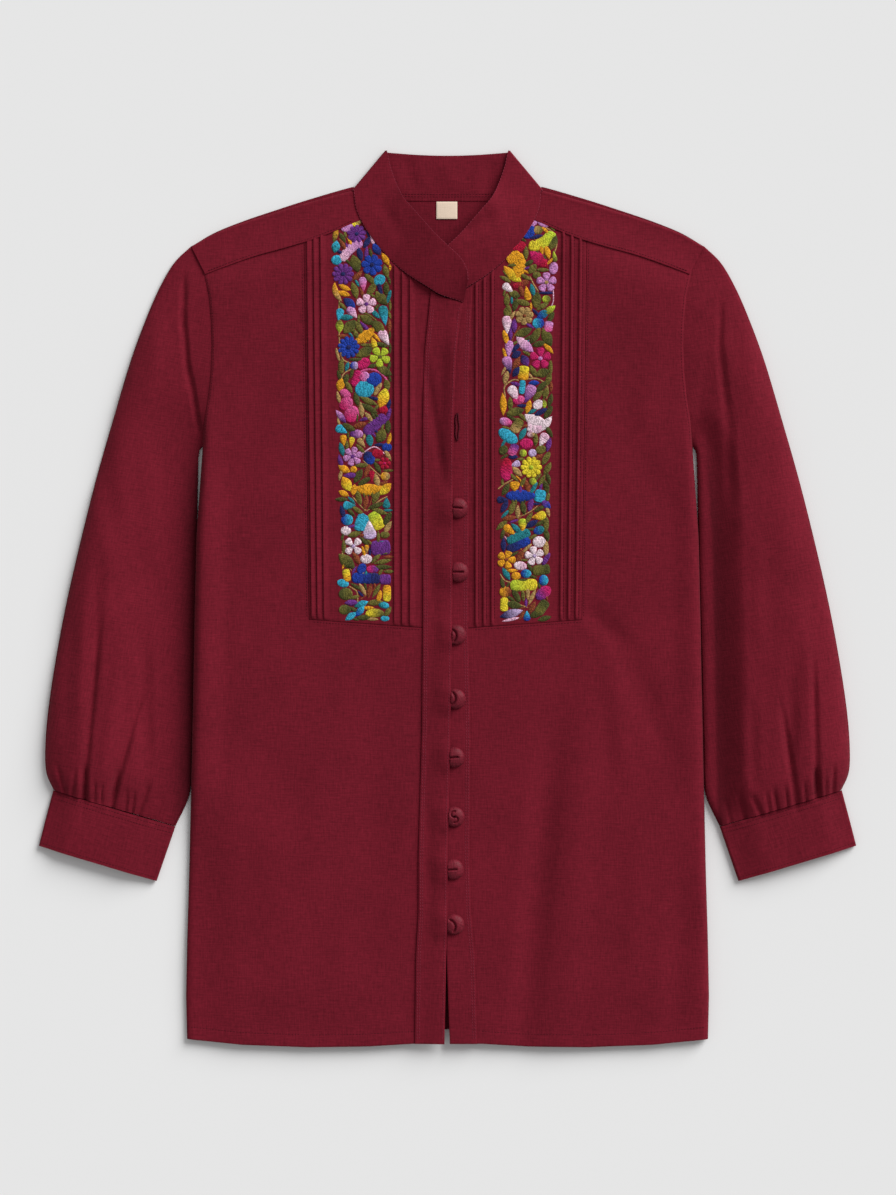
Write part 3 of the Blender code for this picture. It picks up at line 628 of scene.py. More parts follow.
@dataclass
class Plackets:
    """Both button plackets, the left one lying over the right one and the buttons' edges."""

    finishes: Finishes
    creases: tuple = ((-21.0, 216.0, -3.0, 98.0, 6.5, -1.5), (-16.0, 60.0, -10.0, -40.0, 7.0, -0.5),
                      (-20.0, -150.0, -14.0, -300.0, 8.0, -0.6))
    lift: float = 2.3
    hold: float = 4.0
    reach: float = 15.0
    rise: float = 19.0

    def under_height(self, x: np.ndarray, y: np.ndarray) -> np.ndarray:
        """Top of the right placket."""
        return LIE.under(x, y) + CLOTH + GAP + DOUBLE

    def top_height(self, x: np.ndarray, y: np.ndarray) -> np.ndarray:
        """Top of the left placket, raised where its free edge passes over a button."""
        edge, seam = lookup(PLACKET_TOP, y, 1), lookup(PLACKET_TOP, y, 2)
        gaps = [np.abs(y - centre) for _, centre in BUTTONS]
        near = np.max([1 - ease((gap - self.hold) / self.reach) for gap in gaps], axis=0)
        lift = self.lift * near * ease((x - edge + 20.0) / 19.0)
        step = (DOUBLE + GAP) * ease((x - seam - LAP) / self.rise)
        open_edge = 3.4 * ease((x - edge + 13.0) / 12.0) * ease((y - 95.0) / 35.0) * ease((252.0 - y) / 40.0)
        relief = segment_relief(x, y, self.creases) + open_edge
        return LIE.under(x, y) + CLOTH + GAP + DOUBLE + step + lift + relief

    def build(self) -> list:
        """Two strips of double cloth."""
        bodies = []
        for name, table, height, ends in (
                ("placket_under", PLACKET_UNDER, self.under_height, (-392.0, 275.0)),
                ("placket_top", PLACKET_TOP, self.top_height, (-392.0, 268.0))):
            y = (ends[0] + (ends[1] - ends[0]) * shares(330, 660.0))[:, None]
            share = shares(16, 24.0)
            first, second = lookup(table, y, 1), lookup(table, y, 2)
            x = first + (second - first) * share
            y = y + (lookup(NECK, np.sign(second[-1]) * x[-1]) - END_GAP - y[-1]) * ease((y - 225) / 45)
            bodies.append(self.strip(name, softened(points(x, y, height(x, y)), 0.3)))
        return bodies

    def strip(self, name: str, outer: np.ndarray) -> bpy.types.Object:
        """One placket."""
        verts, faces = laid(outer, DOUBLE)
        body = Piece(f"{name}_cloth", verts, faces, self.finishes.cloth, "burgundy_cloth", (name,)).build()
        declare_sheet(body, outer)
        return body


@dataclass
class Back:
    """Back panel, flat on the floor under the front."""

    finishes: Finishes

    def build(self) -> bpy.types.Object:
        """Flat sheet between the side seams."""
        y = (BACK_HEM_Y + (BACK_SEAM_Y - GAP - BACK_HEM_Y) * shares(90, 640.0))[:, None]
        x = (body_half(y) - CLOTH / 2) * (2 * shares(40, 440.0) - 1)
        lift = 0.5 * ease(undulation(x, y, 0.8, 5)) * ease((body_half(y) - np.abs(x)) / 20)
        outer = points(x, np.broadcast_to(y, x.shape), CLOTH + lift * 0.3)
        inner = outer * np.array([1, 1, 0.0])
        # The back takes the darker copy of the cloth, painted shade for lying under the front.
        body = Piece("back_panel", *shell(outer, inner), self.finishes.inside, "burgundy_cloth",
                     ("back",)).build()
        declare_sheet(body, outer)
        return body


@dataclass
class Yoke:
    """Yoke: a strip on the front of each shoulder, folded over it to the back in one piece."""

    finishes: Finishes

    def surface(self, inset_by: float) -> np.ndarray:
        """Grid of the yoke, seen from outside or inset by its wall: seam, fold, back."""
        radius = CLOTH + YOKE_ROOM
        shoulder = np.array(SHOULDER)
        wing_t, wing_y = shoulder[:, 0], shoulder[:, 1]
        share = (wing_t - wing_t[0]) / (wing_t[-1] - wing_t[0])
        seam_y = lookup(YOKE_SEAM, 214.0) - LAP
        neck = np.array(NECK)
        neck_end = np.interp(YOKE_SEAM[0][1] - LAP, neck[:, 1], neck[:, 0]) - END_GAP
        seam_t = neck_end + share * (body_half(seam_y) - END_GAP - neck_end)
        seam = np.stack([seam_t, lookup(YOKE_SEAM, seam_t) - LAP])
        start = np.stack([wing_t, wing_y - radius])
        start[0, -1] = body_half(start[1, -1]) - GAP
        start[0, 0] -= 2.2
        centre_t = np.array([t for t, _ in BACK_NECK[:-1]])
        centre_y = lookup(BACK_NECK, centre_t) - GAP
        r = radius - inset_by
        rows = []
        for part in (0.0, 0.03, 0.25, 0.5, 0.75, 0.92):
            plan = seam + (start - seam) * part
            if part > 0:
                limit = np.interp(plan[1, 0], neck[:, 1], neck[:, 0]) - END_GAP
                plan[0, 0] = max(plan[0, 0], limit)
            height = LIE.top(plan[0], plan[1]) + YOKE_LIFT + CLOTH - inset_by - 0.3 * (part == 0)
            rows.append((plan[0], plan[1], np.maximum(height, radius + r)))
        for angle in np.radians([90.0, 45.0, 0.0, -45.0, -90.0]):
            rows.append((start[0], start[1] + r * math.cos(angle),
                         np.full(len(wing_t), radius + r * math.sin(angle))))
        for level in (YOKE_END_Y, BACK_SEAM_Y):
            rows.append((wing_t * body_half(level) / wing_t[-1], np.full(len(wing_t), level),
                         np.full(len(wing_t), inset_by)))
        wings = np.stack([points(*row) for row in rows])
        centre = np.repeat(wings[:, :1], len(centre_t), axis=1)
        for row, level in zip((-3, -2, -1), (centre_y, YOKE_END_Y, BACK_SEAM_Y)):
            scale = 1.0 if row == -3 else wings[row, 0, 0] / wing_t[0]
            centre[row] = points(centre_t * scale, level, np.full(len(centre_t), inset_by))
        half = np.concatenate([centre, wings], axis=1)
        return np.concatenate([half[:, :0:-1] * np.array([-1.0, 1.0, 1.0]), half], axis=1)

    def build(self) -> bpy.types.Object:
        """Yoke with the neck left open, refined along its folds."""
        outer, inner = self.surface(0.0), self.surface(CLOTH)
        keep = np.ones((outer.shape[0] - 1, outer.shape[1] - 1), dtype=bool)
        keep[:outer.shape[0] - 3, 5:-5] = False
        keep = keep.repeat(5, axis=0).repeat(8, axis=1)
        dense = refine(outer, 5, 8)
        verts, faces = shell(dense, refine(inner, 5, 8), keep=keep)
        body = Piece("yoke_cloth", verts, faces, self.finishes.cloth, "burgundy_cloth", ("yoke",)).build()
        declare_sheet(body, dense)
        return body


@dataclass
class Collar:
    """Stand collar: one band from the left front end round the back to the right one."""

    finishes: Finishes
    front: tuple = (
        (-14.0, 260.5, -18.0, 279.0, 8.5), (-8.0, 262.6, -17.0, 288.5, 8.5), (0.0, 265.0, -11.0, 299.5, 8.5),
        (8.0, 268.0, -1.0, 309.0, 8.5), (20.0, 275.5, 11.0, 320.5, 8.2), (34.0, 284.5, 22.0, 333.0, 7.6),
        (46.0, 294.0, 31.0, 343.5, 6.8), (57.0, 305.5, 39.0, 353.0, 6.0), (71.0, 324.0, 45.0, 365.5, 4.8),
        (80.0, 342.0, 50.5, 381.5, 3.8),
    )
    fold: tuple = (84.3, 360.0, 55.0, 395.0)
    behind: tuple = ((74.0, 355.0, 47.0, 392.8), (45.0, 351.2, 25.0, 391.2), (0.0, 350.8, 0.0, 390.5))
    room: float = 0.7
    raised: float = 3.6
    level: tuple = (22.0, 46.0)
    stand: float = 6.4
    creases: tuple = (
        (14.0, 318.0, 44.0, 341.0, 9.0, -2.4), (30.0, 300.0, 56.0, 330.0, 9.0, 0.9),
        (-38.0, 388.0, -28.0, 358.0, 10.0, -1.1), (-2.0, 392.0, 6.0, 358.0, 15.0, 0.9),
        (40.0, 386.0, 34.0, 356.0, 9.0, -1.1), (-40.0, 318.0, -62.0, 352.0, 10.0, -1.0),
    )

    def half(self, side: int) -> list:
        """Rows of half the band, front end to middle of the back: outer and inner points."""
        radius = BAND + self.room
        across = np.array([0.0, 0.04, 0.35, 0.65, 0.96, 1.0])
        swell = 0.5 * np.array([-0.8, 0.3, 1.0, 1.0, 0.6, -0.5])
        rows = []
        for seam_t, seam_y, top_t, top_y, high in self.front[0 if side < 0 else 2:]:
            t = seam_t + (top_t - seam_t) * across
            y = seam_y + (top_y - seam_y) * across
            base = float(LIE.under(np.array(side * seam_t), np.array(seam_y)))
            base += 1.7 * float(ease((seam_t - 58.0) / 18.0))
            high = high + self.stand * (1.0 - float(ease((seam_t - 50.0) / 32.0)))
            height = base * (1.0 - across) + high * across
            if side < 0:
                start, stop = self.level
                height = height + self.raised * (1.0 - ease((seam_t - start) / (stop - start)))
            height = np.maximum(height, radius + self.room)
            rows.append((points(side * t, y, height + BAND + swell), points(side * t, y, height)))
        seam_t, seam_y, top_t, top_y = self.fold
        length = math.hypot(top_t - seam_t, top_y - seam_y)
        inwards = (-(top_y - seam_y) / length, (top_t - seam_t) / length)
        t = seam_t + (top_t - seam_t) * across
        y = seam_y + (top_y - seam_y) * across
        for angle in np.radians([90.0, 45.0, 0.0, -45.0, -90.0]):
            pair = []
            for r in (radius, self.room):
                off = radius - r * math.cos(angle)
                pair.append(points(side * (t + inwards[0] * off), y + inwards[1] * off,
                                   radius + r * math.sin(angle) + 0 * t))
            rows.append(tuple(pair))
        for seam_t, seam_y, top_t, top_y in self.behind:
            t = seam_t + (top_t - seam_t) * across
            y = seam_y + (top_y - seam_y) * across
            rows.append((points(side * t, y, 0 * t), points(side * t, y, BAND + 0 * t)))
        return rows

    def grids(self) -> tuple:
        """Refined outer and inner grids of the whole band."""
        rows = self.half(-1) + self.half(1)[-2::-1]
        grids = [refine(np.stack([row[k] for row in rows]), 8, 5) for k in (0, 1)]
        for grid in grids:
            relief = segment_relief(grid[..., 0], grid[..., 1], self.creases)
            grid[..., 2] += relief * ease((grid[..., 2] - 0.6) / 1.0)
        return grids

    def build(self) -> bpy.types.Object:
        """Collar as one closed band."""
        outer, inner = self.grids()
        verts, faces = shell(outer, inner)
        body = Piece("collar_cloth", verts, faces, self.finishes.cloth, "burgundy_cloth", ("collar",)).build()
        declare_sheet(body, outer)
        return body


FOLD_STEPS = 9          # points over the half circle of a folded edge
CUFF_COLUMNS = 60       # steps over a cuff's top


@dataclass
class Sleeve:
    """Sleeve and cuff of one side: flattened tubes, the sleeve gathered into the cuff."""

    side: int
    finishes: Finishes
    low: float = 2.5            # height near the inner edge
    start: float = 20.0         # distance from the inner edge where the top starts to climb
    stop: float = 92.0          # and where it is full
    outer_slope: float = 34.0
    puff: float = 1.05
    fold: float = 2.8
    tuck: float = 0.9           # how far the armhole edge goes in to the body
    lean: float = 1.3           # how far the inner edge below it does
    rings: tuple = (
        (216.5, 133.4, 226.8, 311.0, 9.0), (217.6, 133.2, 240.5, 297.0, 8.0),
        (218.9, 132.2, 252.5, 277.0, 7.6), (220.0, 130.0, 264.6, 250.0, 9.4),
        (220.9, 124.0, 279.4, 210.0, 12.0), (221.4, 108.0, 295.2, 157.0, 13.4),
        (221.9, 80.0, 310.2, 104.3, 14.2), (222.6, 40.0, 324.0, 49.5, 15.0),
        (223.6, -8.0, 336.3, -4.5, 15.6), (224.8, -58.0, 345.8, -55.0, 16.4),
        (225.9, -102.0, 352.2, -98.0, 17.0), (226.9, -138.0, 354.8, -130.0, 17.0),
        (228.6, -172.0, 354.0, -153.0, 15.6), (239.9, -200.6, 347.6, -168.6, 11.0),
    )
    cuff_rings: tuple = ((240.0, -201.1, 347.7, -169.1, 9.8), (248.3, -225.2, 354.2, -193.7, 10.0),
                         (256.5, -249.0, 360.4, -217.8, 9.6))
    creases: tuple = ()
    gathers: tuple = ()
    painted_shade_band: tuple = (-2.0, 25.0, -90.0, 0.56)      # start, reach, inner start and depth of the painted shade beside the body

    def loft(self, table: np.ndarray, rows: int, fold: float, columns: int, cuff: bool) -> np.ndarray:
        """Grid of a flattened tube, ring by ring down the arm.

        Each ring runs along its flat bottom, up a half circle of the fold's thickness, over the
        top and down the other half circle. The top climbs from the inner edge by a soft step.

        Args:
            table: inner t and y, outer t and y and height of each ring.
            rows: rings after refining.
            fold: thickness at the folds.
            columns: steps over the top.
            cuff: whether this is the cuff, which keeps an even top.

        Returns:
            Grid of points, rings by places round them.
        """
        ring = smooth(table, np.linspace(0, len(table) - 1, rows))
        place_down = np.linspace(0, len(table) - 1, rows)[:, None]
        inner, outer, high = ring[:, 0:2], ring[:, 2:4], ring[:, 4:5]
        width = np.linalg.norm(outer - inner, axis=1)[:, None]
        radius = fold / 2
        turn = np.radians(np.linspace(-90.0, 90.0, FOLD_STEPS))[None, :]
        floor = np.linspace(1.0, 0.0, columns // 3)[None, 1:-1] * np.ones_like(width)
        over = np.linspace(0.0, 1.0, columns + 1)[None, 1:-1] * np.ones_like(width)
        d, far = over * width, (1 - over) * width
        if cuff:
            climb = ease(d / (0.3 * width)) * ease(far / (0.24 * width))
            top = fold + (high - fold) * climb
        else:
            rise = ease((d - self.start) / (self.stop - self.start))
            edge = roll(d / 6.0)
            top = fold * 0.5 + (self.low - fold * 0.5) * edge + (high * self.puff - self.low) * rise
            top = fold * 0.5 + (top - fold * 0.5) * roll(far / self.outer_slope)
            level = UNDERARM_Y + (SHOULDER_TIP_Y - UNDERARM_Y) * over
            seam = np.maximum(LIE.top(self.side * body_half(level), level) - 0.3, fold)
            fade = np.clip(1.0 - place_down / 4.0, 0.0, 1.0)
            top = top + (seam - top) * fade**1.5
        first = (radius - radius * np.cos(turn)) / width
        places = np.concatenate([floor, first, over, 1.0 - first[:, ::-1]], axis=1)
        ones = np.ones_like(width)
        heights = np.concatenate([0 * floor, (radius + radius * np.sin(turn)) * ones, top,
                                  ((radius + radius * np.sin(turn)) * ones)[:, ::-1]], axis=1)
        t = inner[:, :1] + (outer[:, :1] - inner[:, :1]) * places
        y = inner[:, 1:] + (outer[:, 1:] - inner[:, 1:]) * places
        if not cuff:
            level = UNDERARM_Y + (SHOULDER_TIP_Y - UNDERARM_Y) * places
            a, b = body_half(UNDERARM_Y), body_half(SHOULDER_TIP_Y)
            t = t + np.clip(1.0 - place_down / 4.0, 0, 1) * (body_half(level) - a - (b - a) * places)
            t = t - self.tuck * np.clip(1.0 - place_down / 1.2, 0, 1)
            between = np.clip(place_down - 0.4, 0, 1) * np.clip(13.0 - place_down, 0, 1)
            t = t - self.lean * (1.0 - places) * between
        x = self.side * t
        lifted = ease((heights - fold * 0.6) / 3.0)
        relief = segment_relief(x, y, self.creases) + segment_relief(x, y, self.gathers, True)
        quiet = ease(place_down / 1.5) if not cuff else 0.4
        share = 0.35 if cuff else 1.0
        heights = heights + lifted * (relief * share + undulation(x, y, 0.55, 11) * quiet)
        return points(x, y, np.maximum(heights, 0.0))

    def painted_shade_colours(self, verts: np.ndarray) -> np.ndarray:
        """Colour of every point: darker in a band out from the body's edge, painted shade standing in for the
        shadow there.
        """
        t, y = self.side * verts[:, 0], verts[:, 1]
        near = 1.0 - ease((t - body_half(y) - self.painted_shade_band[0]) / self.painted_shade_band[1])
        inside = ease((t - body_half(y) - self.painted_shade_band[2]) / 4.0)
        # Painted shade: the sleeve's colour is darkened near the body's edge, below the armhole, in place of
        # a cast shadow.
        shade = 1.0 - self.painted_shade_band[3] * near * inside * ease((150.0 - y) / 60.0)
        even = np.repeat(shade[:, None], 3, axis=1)
        return np.array(BURGUNDY) * np.append(even, np.ones((len(y), 1)), axis=1)

    def build(self) -> list:
        """Sleeve and cuff as tubes, open at both ends."""
        name = side_name(self.side)
        grid = self.loft(np.array(self.rings), 150, self.fold, 86, False)
        sign = 1.0 if self.side > 0 else -1.0
        verts, faces = shell(grid, grid + sign * THIN * normals(grid), tube=True)
        sleeve = Piece(f"sleeve_cloth_{name}", verts, faces, self.finishes.sleeve, "burgundy_cloth",
                       (f"sleeve_{name}", f"sleeve_under_{name}"), -10.0 * self.side,
                       colours=self.painted_shade_colours(verts)).build()
        declare_sheet(sleeve, grid, True)
        rim = self.loft(np.array(self.cuff_rings), 34, 4.6, CUFF_COLUMNS, True)
        verts, faces = shell(rim, rim + sign * 1.6 * normals(rim), tube=True)
        cuff = Piece(f"cuff_cloth_{name}", verts, faces, self.finishes.cloth, "burgundy_cloth",
                     (f"cuff_{name}",), -16.0 * self.side).build()
        declare_sheet(cuff, rim, True)
        self.sleeve_grid, self.cuff_grid = grid, rim
        return [sleeve, cuff]


# Trimmings

class Mark(Enum):
    """How the cloth is drawn together on a covered button."""

    SLIT = 1
    CRESCENT = 2
    SWIRL = 3


@dataclass
class Buttons:
    """Eight buttons covered with the cloth, each gathered a little differently."""

    finishes: Finishes
    plackets: Plackets
    radius: float = 8.9
    height: float = 4.6
    marks: tuple = ((Mark.SLIT, -6.0, -1.0), (Mark.SLIT, 0.0, -0.5), (Mark.CRESCENT, 10.0, -1.5),
                    (Mark.CRESCENT, -5.0, -1.5), (Mark.SLIT, 5.0, -1.5), (Mark.SWIRL, 0.0, 0.0),
                    (Mark.SLIT, 4.0, -2.0), (Mark.CRESCENT, 20.0, -1.0))

    def groove(self, mark: Mark, x: np.ndarray, y: np.ndarray) -> np.ndarray:
        """Depth of the drawn cloth at a point: a straight slit, an arc, or two arcs."""
        if mark is Mark.SLIT:
            return 2.4 * np.exp(-(y / 0.8) ** 2) * ease((5.8 - np.abs(x)) / 2.0)
        if mark is Mark.CRESCENT:
            arc = np.hypot(x + 4.6, y) - 6.0
            return 2.4 * np.exp(-(arc / 0.9) ** 2) * ease((x + 3.5) / 2.5)
        upper = np.hypot(x + 0.3, y - 2.4) - 2.6
        lower = np.hypot(x - 0.3, y + 2.4) - 2.6
        return 1.8 * (np.exp(-(upper / 0.7) ** 2) * (x < 0.8) + np.exp(-(lower / 0.7) ** 2) * (x > -0.8))

    def build(self) -> list:
        """A dome each, with fine gathers towards its rim."""
        bodies = []
        turn = np.linspace(0, 2 * math.pi, 48, endpoint=False)[None, :]
        part = np.linspace(0.0, 1.0, 26)[:, None]
        for number, ((cx, cy), (mark, angle, shift)) in enumerate(zip(BUTTONS, self.marks), start=1):
            swing = part * math.pi / 2 * 1.18
            radius = self.radius * np.sin(np.minimum(swing, math.pi / 2)) + 0.0 * turn
            radius = np.maximum(radius, 0.05) * np.where(swing > math.pi / 2, 0.97, 1.0)
            lift = self.height * np.maximum(np.cos(swing), -0.15)
            x, y = radius * np.cos(turn), radius * np.sin(turn)
            a = math.radians(angle)
            gx, gy = x * math.cos(a) + y * math.sin(a) - shift, -x * math.sin(a) + y * math.cos(a)
            gathers = (0.16 * np.sin(13 * turn + number) * ease(part * 1.6 - 0.4)
                       * (1 - ease((part - 0.85) / 0.1)))
            z = lift - self.groove(mark, gx, gy) * ease((0.95 - part) / 0.2) + gathers
            base = float(LIE.under(np.array(cx), np.array(cy))) + CLOTH + GAP + DOUBLE + 0.9
            z = base + z
            free = ease((cx + x - lookup(PLACKET_TOP, cy + y, 1) + 0.4) / 0.8)
            under = self.plackets.top_height(cx + x, cy + y) - DOUBLE - 0.15
            z = np.where(free > 0.5, z, np.minimum(z, under))
            outer = points(cx + x, cy + y, z)
            inner = points(cx + 0.9 * x, cy + 0.9 * y, np.minimum(base - 0.6 + 0.6 * lift, z - 0.5))
            verts, faces = shell(outer, inner, tube=True)
            bodies.append(Piece(f"covered_button_{number}", verts, faces, self.finishes.cover,
                                "button_cover", (f"button_{number}",), 37.0 * number).build())
        return bodies


@dataclass
class Label:
    """Bare tape sewn to the inside of the yoke."""

    finishes: Finishes
    size: tuple = (18.4, 15.2, 0.7)
    place: tuple = (-0.6, 342.4)

    def build(self) -> bpy.types.Object:
        """Thin slab that bows a little."""
        u, v = np.meshgrid(np.linspace(-0.5, 0.5, 22), np.linspace(-0.5, 0.5, 18))
        x = self.place[0] + self.size[0] * u
        y = self.place[1] + self.size[1] * v
        z = CLOTH + GAP + self.size[2] + 0.25 * np.cos(3 * u) + 0 * v
        edge = np.maximum(np.abs(u), np.abs(v)) > 0.499
        outer = points(x, y, z - 0.25 * edge)
        verts, faces = shell(outer, outer - np.array([0, 0, 0.45]))
        return Piece("neck_label_tape", verts, faces, self.finishes.tape, "label_tape",
                     ("neck_label",)).build()


def sew(path: np.ndarray, normal: np.ndarray, pitch: float = 2.7, length: float = 1.9,
        width: float = 0.42) -> tuple:
    """Row of stitches along a path: each a small tapered bar of four rings of four corners.

    Args:
        path: points along the row.
        normal: unit normals of the cloth at those points.
        pitch, length, width: of the stitches.

    Returns:
        Points and faces of all stitches.
    """
    run = np.concatenate([[0.0], np.cumsum(np.linalg.norm(np.diff(path, axis=0), axis=1))])
    at = np.arange(pitch / 2, run[-1], pitch)
    centre = np.stack([np.interp(at, run, path[:, k]) for k in range(3)], axis=-1)
    ahead = np.stack([np.interp(at + 0.4, run, path[:, k]) for k in range(3)], axis=-1)
    up = np.stack([np.interp(at, run, normal[:, k]) for k in range(3)], axis=-1)
    up /= np.linalg.norm(up, axis=1, keepdims=True)
    along = ahead - centre
    along /= np.maximum(np.linalg.norm(along, axis=1, keepdims=True), 1e-9)
    aside = np.cross(up, along)
    s = np.array([-0.5, -0.34, 0.34, 0.5])
    size = np.array([0.45, 1.0, 1.0, 0.45])
    corner = np.array([(-0.5, 0.0), (0.5, 0.0), (0.35, 0.8), (-0.35, 0.8)])
    ring = (centre[:, None, None] + along[:, None, None] * (s * length)[None, :, None, None]
            + aside[:, None, None] * (size[:, None] * corner[:, 0] * width)[None, :, :, None]
            + up[:, None, None] * ((size[:, None] * corner[:, 1]) * width - 0.12)[None, :, :, None])
    k = np.arange(4)
    sides = [np.stack([r * 4 + k, r * 4 + (k + 1) % 4, r * 4 + 4 + (k + 1) % 4, r * 4 + 4 + k], axis=-1)
             for r in range(3)]
    one = np.concatenate(sides + [np.array([[3, 2, 1, 0], [12, 13, 14, 15]])])
    faces = (one[None] + 16 * np.arange(len(centre))[:, None, None]).reshape(-1, 4)
    return ring.reshape(-1, 3), faces


def plan_row(x: np.ndarray, y: np.ndarray, height: object) -> tuple:
    """Path on a height over a plan, with its normals from the height's slopes."""
    x, y = np.broadcast_arrays(np.asarray(x, float), np.asarray(y, float))
    z, e = height(x, y), 0.5
    slope_x, slope_y = (height(x + e, y) - z) / e, (height(x, y + e) - z) / e
    normal = points(-slope_x, -slope_y, np.ones_like(z))
    return points(x, y, z), normal / np.linalg.norm(normal, axis=-1, keepdims=True)


def line_of(grid: np.ndarray, place: float, flip: float = 1.0) -> tuple:
    """Path along a grid's rows at a column counted with fractions, with its normals."""
    low = int(math.floor(place))
    mixed = grid[:, low] * (1 - place + low) + grid[:, min(low + 1, grid.shape[1] - 1)] * (place - low)
    return mixed, flip * normals(grid)[:, low]


@dataclass
class Stitching:
    """Every row of stitches that shows, joined in two meshes, one for each thread."""

    finishes: Finishes
    plackets: Plackets
    collar: Collar
    sleeves: list

    def rows(self) -> list:
        """Paths and normals of the rows."""
        rows = []
        for side in (-1, 1):
            t = np.linspace(30.0, 227.0, 120)
            rows.append(plan_row(side * t, lookup(HEM, t) + 11.0, LIE.top))
            t = np.linspace(84.0, 212.0, 80)
            lifted = lambda x, v: LIE.top(x, v) + YOKE_LIFT + CLOTH
            rows.append(plan_row(side * t, lookup(YOKE_SEAM, t) - LAP + 2.2, lifted))
            t = np.linspace(24.0, 118.0, 60)
            rows.append(plan_row(side * t, lookup(INSET_BOTTOM, t) - 1.7, LIE.top))
            y = np.linspace(-16.0, 308.0, 150)
            rows.append(plan_row(side * (inset_edge(side, y) + 1.8), y, LIE.top))
            y = np.linspace(140.0, 282.0, 80)
            rows.append(plan_row(side * (body_half(y) - 2.0), y, LIE.top))
            for t0 in TUCKS[side]:
                y = np.linspace(-18.0, 316.0, 150)
                edge = INSET_EDGE[side][0]
                t = t0 + (inset_edge(side, y) - edge) * np.clip((t0 - LEAN_START) / (edge - LEAN_START), 0, 1)
                fits = y < front_top(t) - 2
                rows.append(plan_row(side * t[fits] + 2.4, y[fits], LIE.top))
        t = np.linspace(-62.0, 62.0, 90)
        for off in (2.2, 4.4):
            rows.append(plan_row(t, lookup(BACK_NECK, np.abs(t)) + off, lambda x, v: BAND + 0.0 * x))
        for sleeve in self.sleeves:
            cuff = sleeve.cuff_grid
            first = CUFF_COLUMNS // 3 - 2 + FOLD_STEPS
            for ring in (1.6, 4.0, 31.0):
                path = cuff[:, first:first + CUFF_COLUMNS - 1].swapaxes(0, 1)
                rows.append(line_of(path, ring))
        return rows

    def edge_rows(self) -> list:
        """Rows along the plackets and both edges of the collar's fronts, in paler thread; along the collar it
        also stands in for a painted highlight on the rim.
        """
        rows = []
        y = np.linspace(-388.0, 255.0, 330)
        top, under = self.plackets.top_height, self.plackets.under_height
        for off in (1.6, 3.6):
            rows.append(plan_row(lookup(PLACKET_TOP, y, 2) + off, y, top))
            rows.append(plan_row(lookup(PLACKET_UNDER, y, 2) - off, y, under))
        rows.append(plan_row(lookup(PLACKET_TOP, y, 1) - 1.8, y, top))
        # Along the collar's fronts the paler thread is partly a painted highlight of the collar's rim.
        outer = self.collar.grids()[0]
        count = outer.shape[1] - 1
        front_rows = 13 * 8
        fronts = (outer[:front_rows], outer[-front_rows + 16:])
        return rows + [line_of(piece, count * place) for piece in fronts for place in (0.08, 0.90)]

    def build(self) -> list:
        """Both meshes of joined stitches."""
        return [self.join("seam_stitches", self.rows(), self.finishes.seam),
                self.join("edge_stitches", self.edge_rows(), self.finishes.edging)]

    def join(self, name: str, rows: list, thread: bpy.types.Material) -> bpy.types.Object:
        """Joined stitches, set on the side that faces up."""
        verts, faces, count = [], [], 0
        for path, normal in rows:
            normal = normal * np.sign(normal[:, 2:3] + 1e-9)
            v, f = sew(path, normal)
            verts.append(v)
            faces.append(f + count)
            count += len(v)
        return Piece(name, np.concatenate(verts), np.concatenate(faces), thread,
                     "burgundy_cloth", sharp=80.0).build()


@dataclass
class ThreadLoop:
    """Loose chain of thread beside the placket, above the first button."""

    finishes: Finishes
    plackets: Plackets
    ends: tuple = (139.0, 163.0)
    steps: int = 90             # rings along the oval
    sides: int = 10             # points round the thread

    def build(self) -> bpy.types.Object:
        """Tube round a long oval, swelling and shrinking like a chain."""
        along = np.linspace(0, 2 * math.pi, self.steps, endpoint=False)[:, None]
        around = np.linspace(0, 2 * math.pi, self.sides, endpoint=False)[None, :]
        middle, half = sum(self.ends) / 2, (self.ends[1] - self.ends[0]) / 2
        cy = middle + half * np.cos(along)
        cx = 8.6 + 1.5 * np.sin(along) * (1 + 0.2 * np.sin(5 * along))
        radius = 0.62 * (1 + 0.25 * np.sin(30 * along))
        x = cx + radius * np.cos(around)
        y = cy + 0 * around
        z = self.plackets.under_height(cx, cy) + 0.7 + radius * np.sin(around)
        ring = points(x, y, z)
        index = np.arange(self.steps * self.sides).reshape(self.steps, self.sides)
        down, right = np.roll(index, -1, axis=0), np.roll(index, -1, axis=1)
        faces = np.stack([index, right, np.roll(down, -1, axis=1), down], axis=-1).reshape(-1, 4)
        return Piece("thread_loop", ring.reshape(-1, 3), faces[:, ::-1], self.finishes.seam,
                     "burgundy_cloth", sharp=90.0).build()


# Embroidery

class Yarn(Enum):
    """Colours of the embroidery yarn."""

    PURPLE = (96, 44, 118)
    LILAC = (184, 122, 176)
    PALE = (214, 166, 190)
    PINK = (196, 78, 132)
    MAGENTA = (176, 28, 88)
    CRIMSON = (156, 16, 46)
    ROYAL = (30, 56, 144)
    NAVY = (34, 36, 84)
    TURQUOISE = (48, 150, 178)
    TEAL = (34, 112, 120)
    GOLD = (206, 142, 30)
    YELLOW = (206, 186, 44)
    LIME = (166, 182, 48)
    WHITE = (218, 196, 204)
    LAVENDER = (176, 152, 190)
    BEIGE = (160, 128, 78)
    OLIVE = (98, 92, 40)
    MOSS = (68, 70, 32)
    RUST = (124, 62, 36)


class Shape(Enum):
    """Outline of a filled motif."""

    LEAF = 1
    DROP = 2
    OVAL = 3
    BLOCK = 4
    STRIP = 5


Y, S = Yarn, Shape
L, D, O, B = S.LEAF, S.DROP, S.OVAL, S.BLOCK


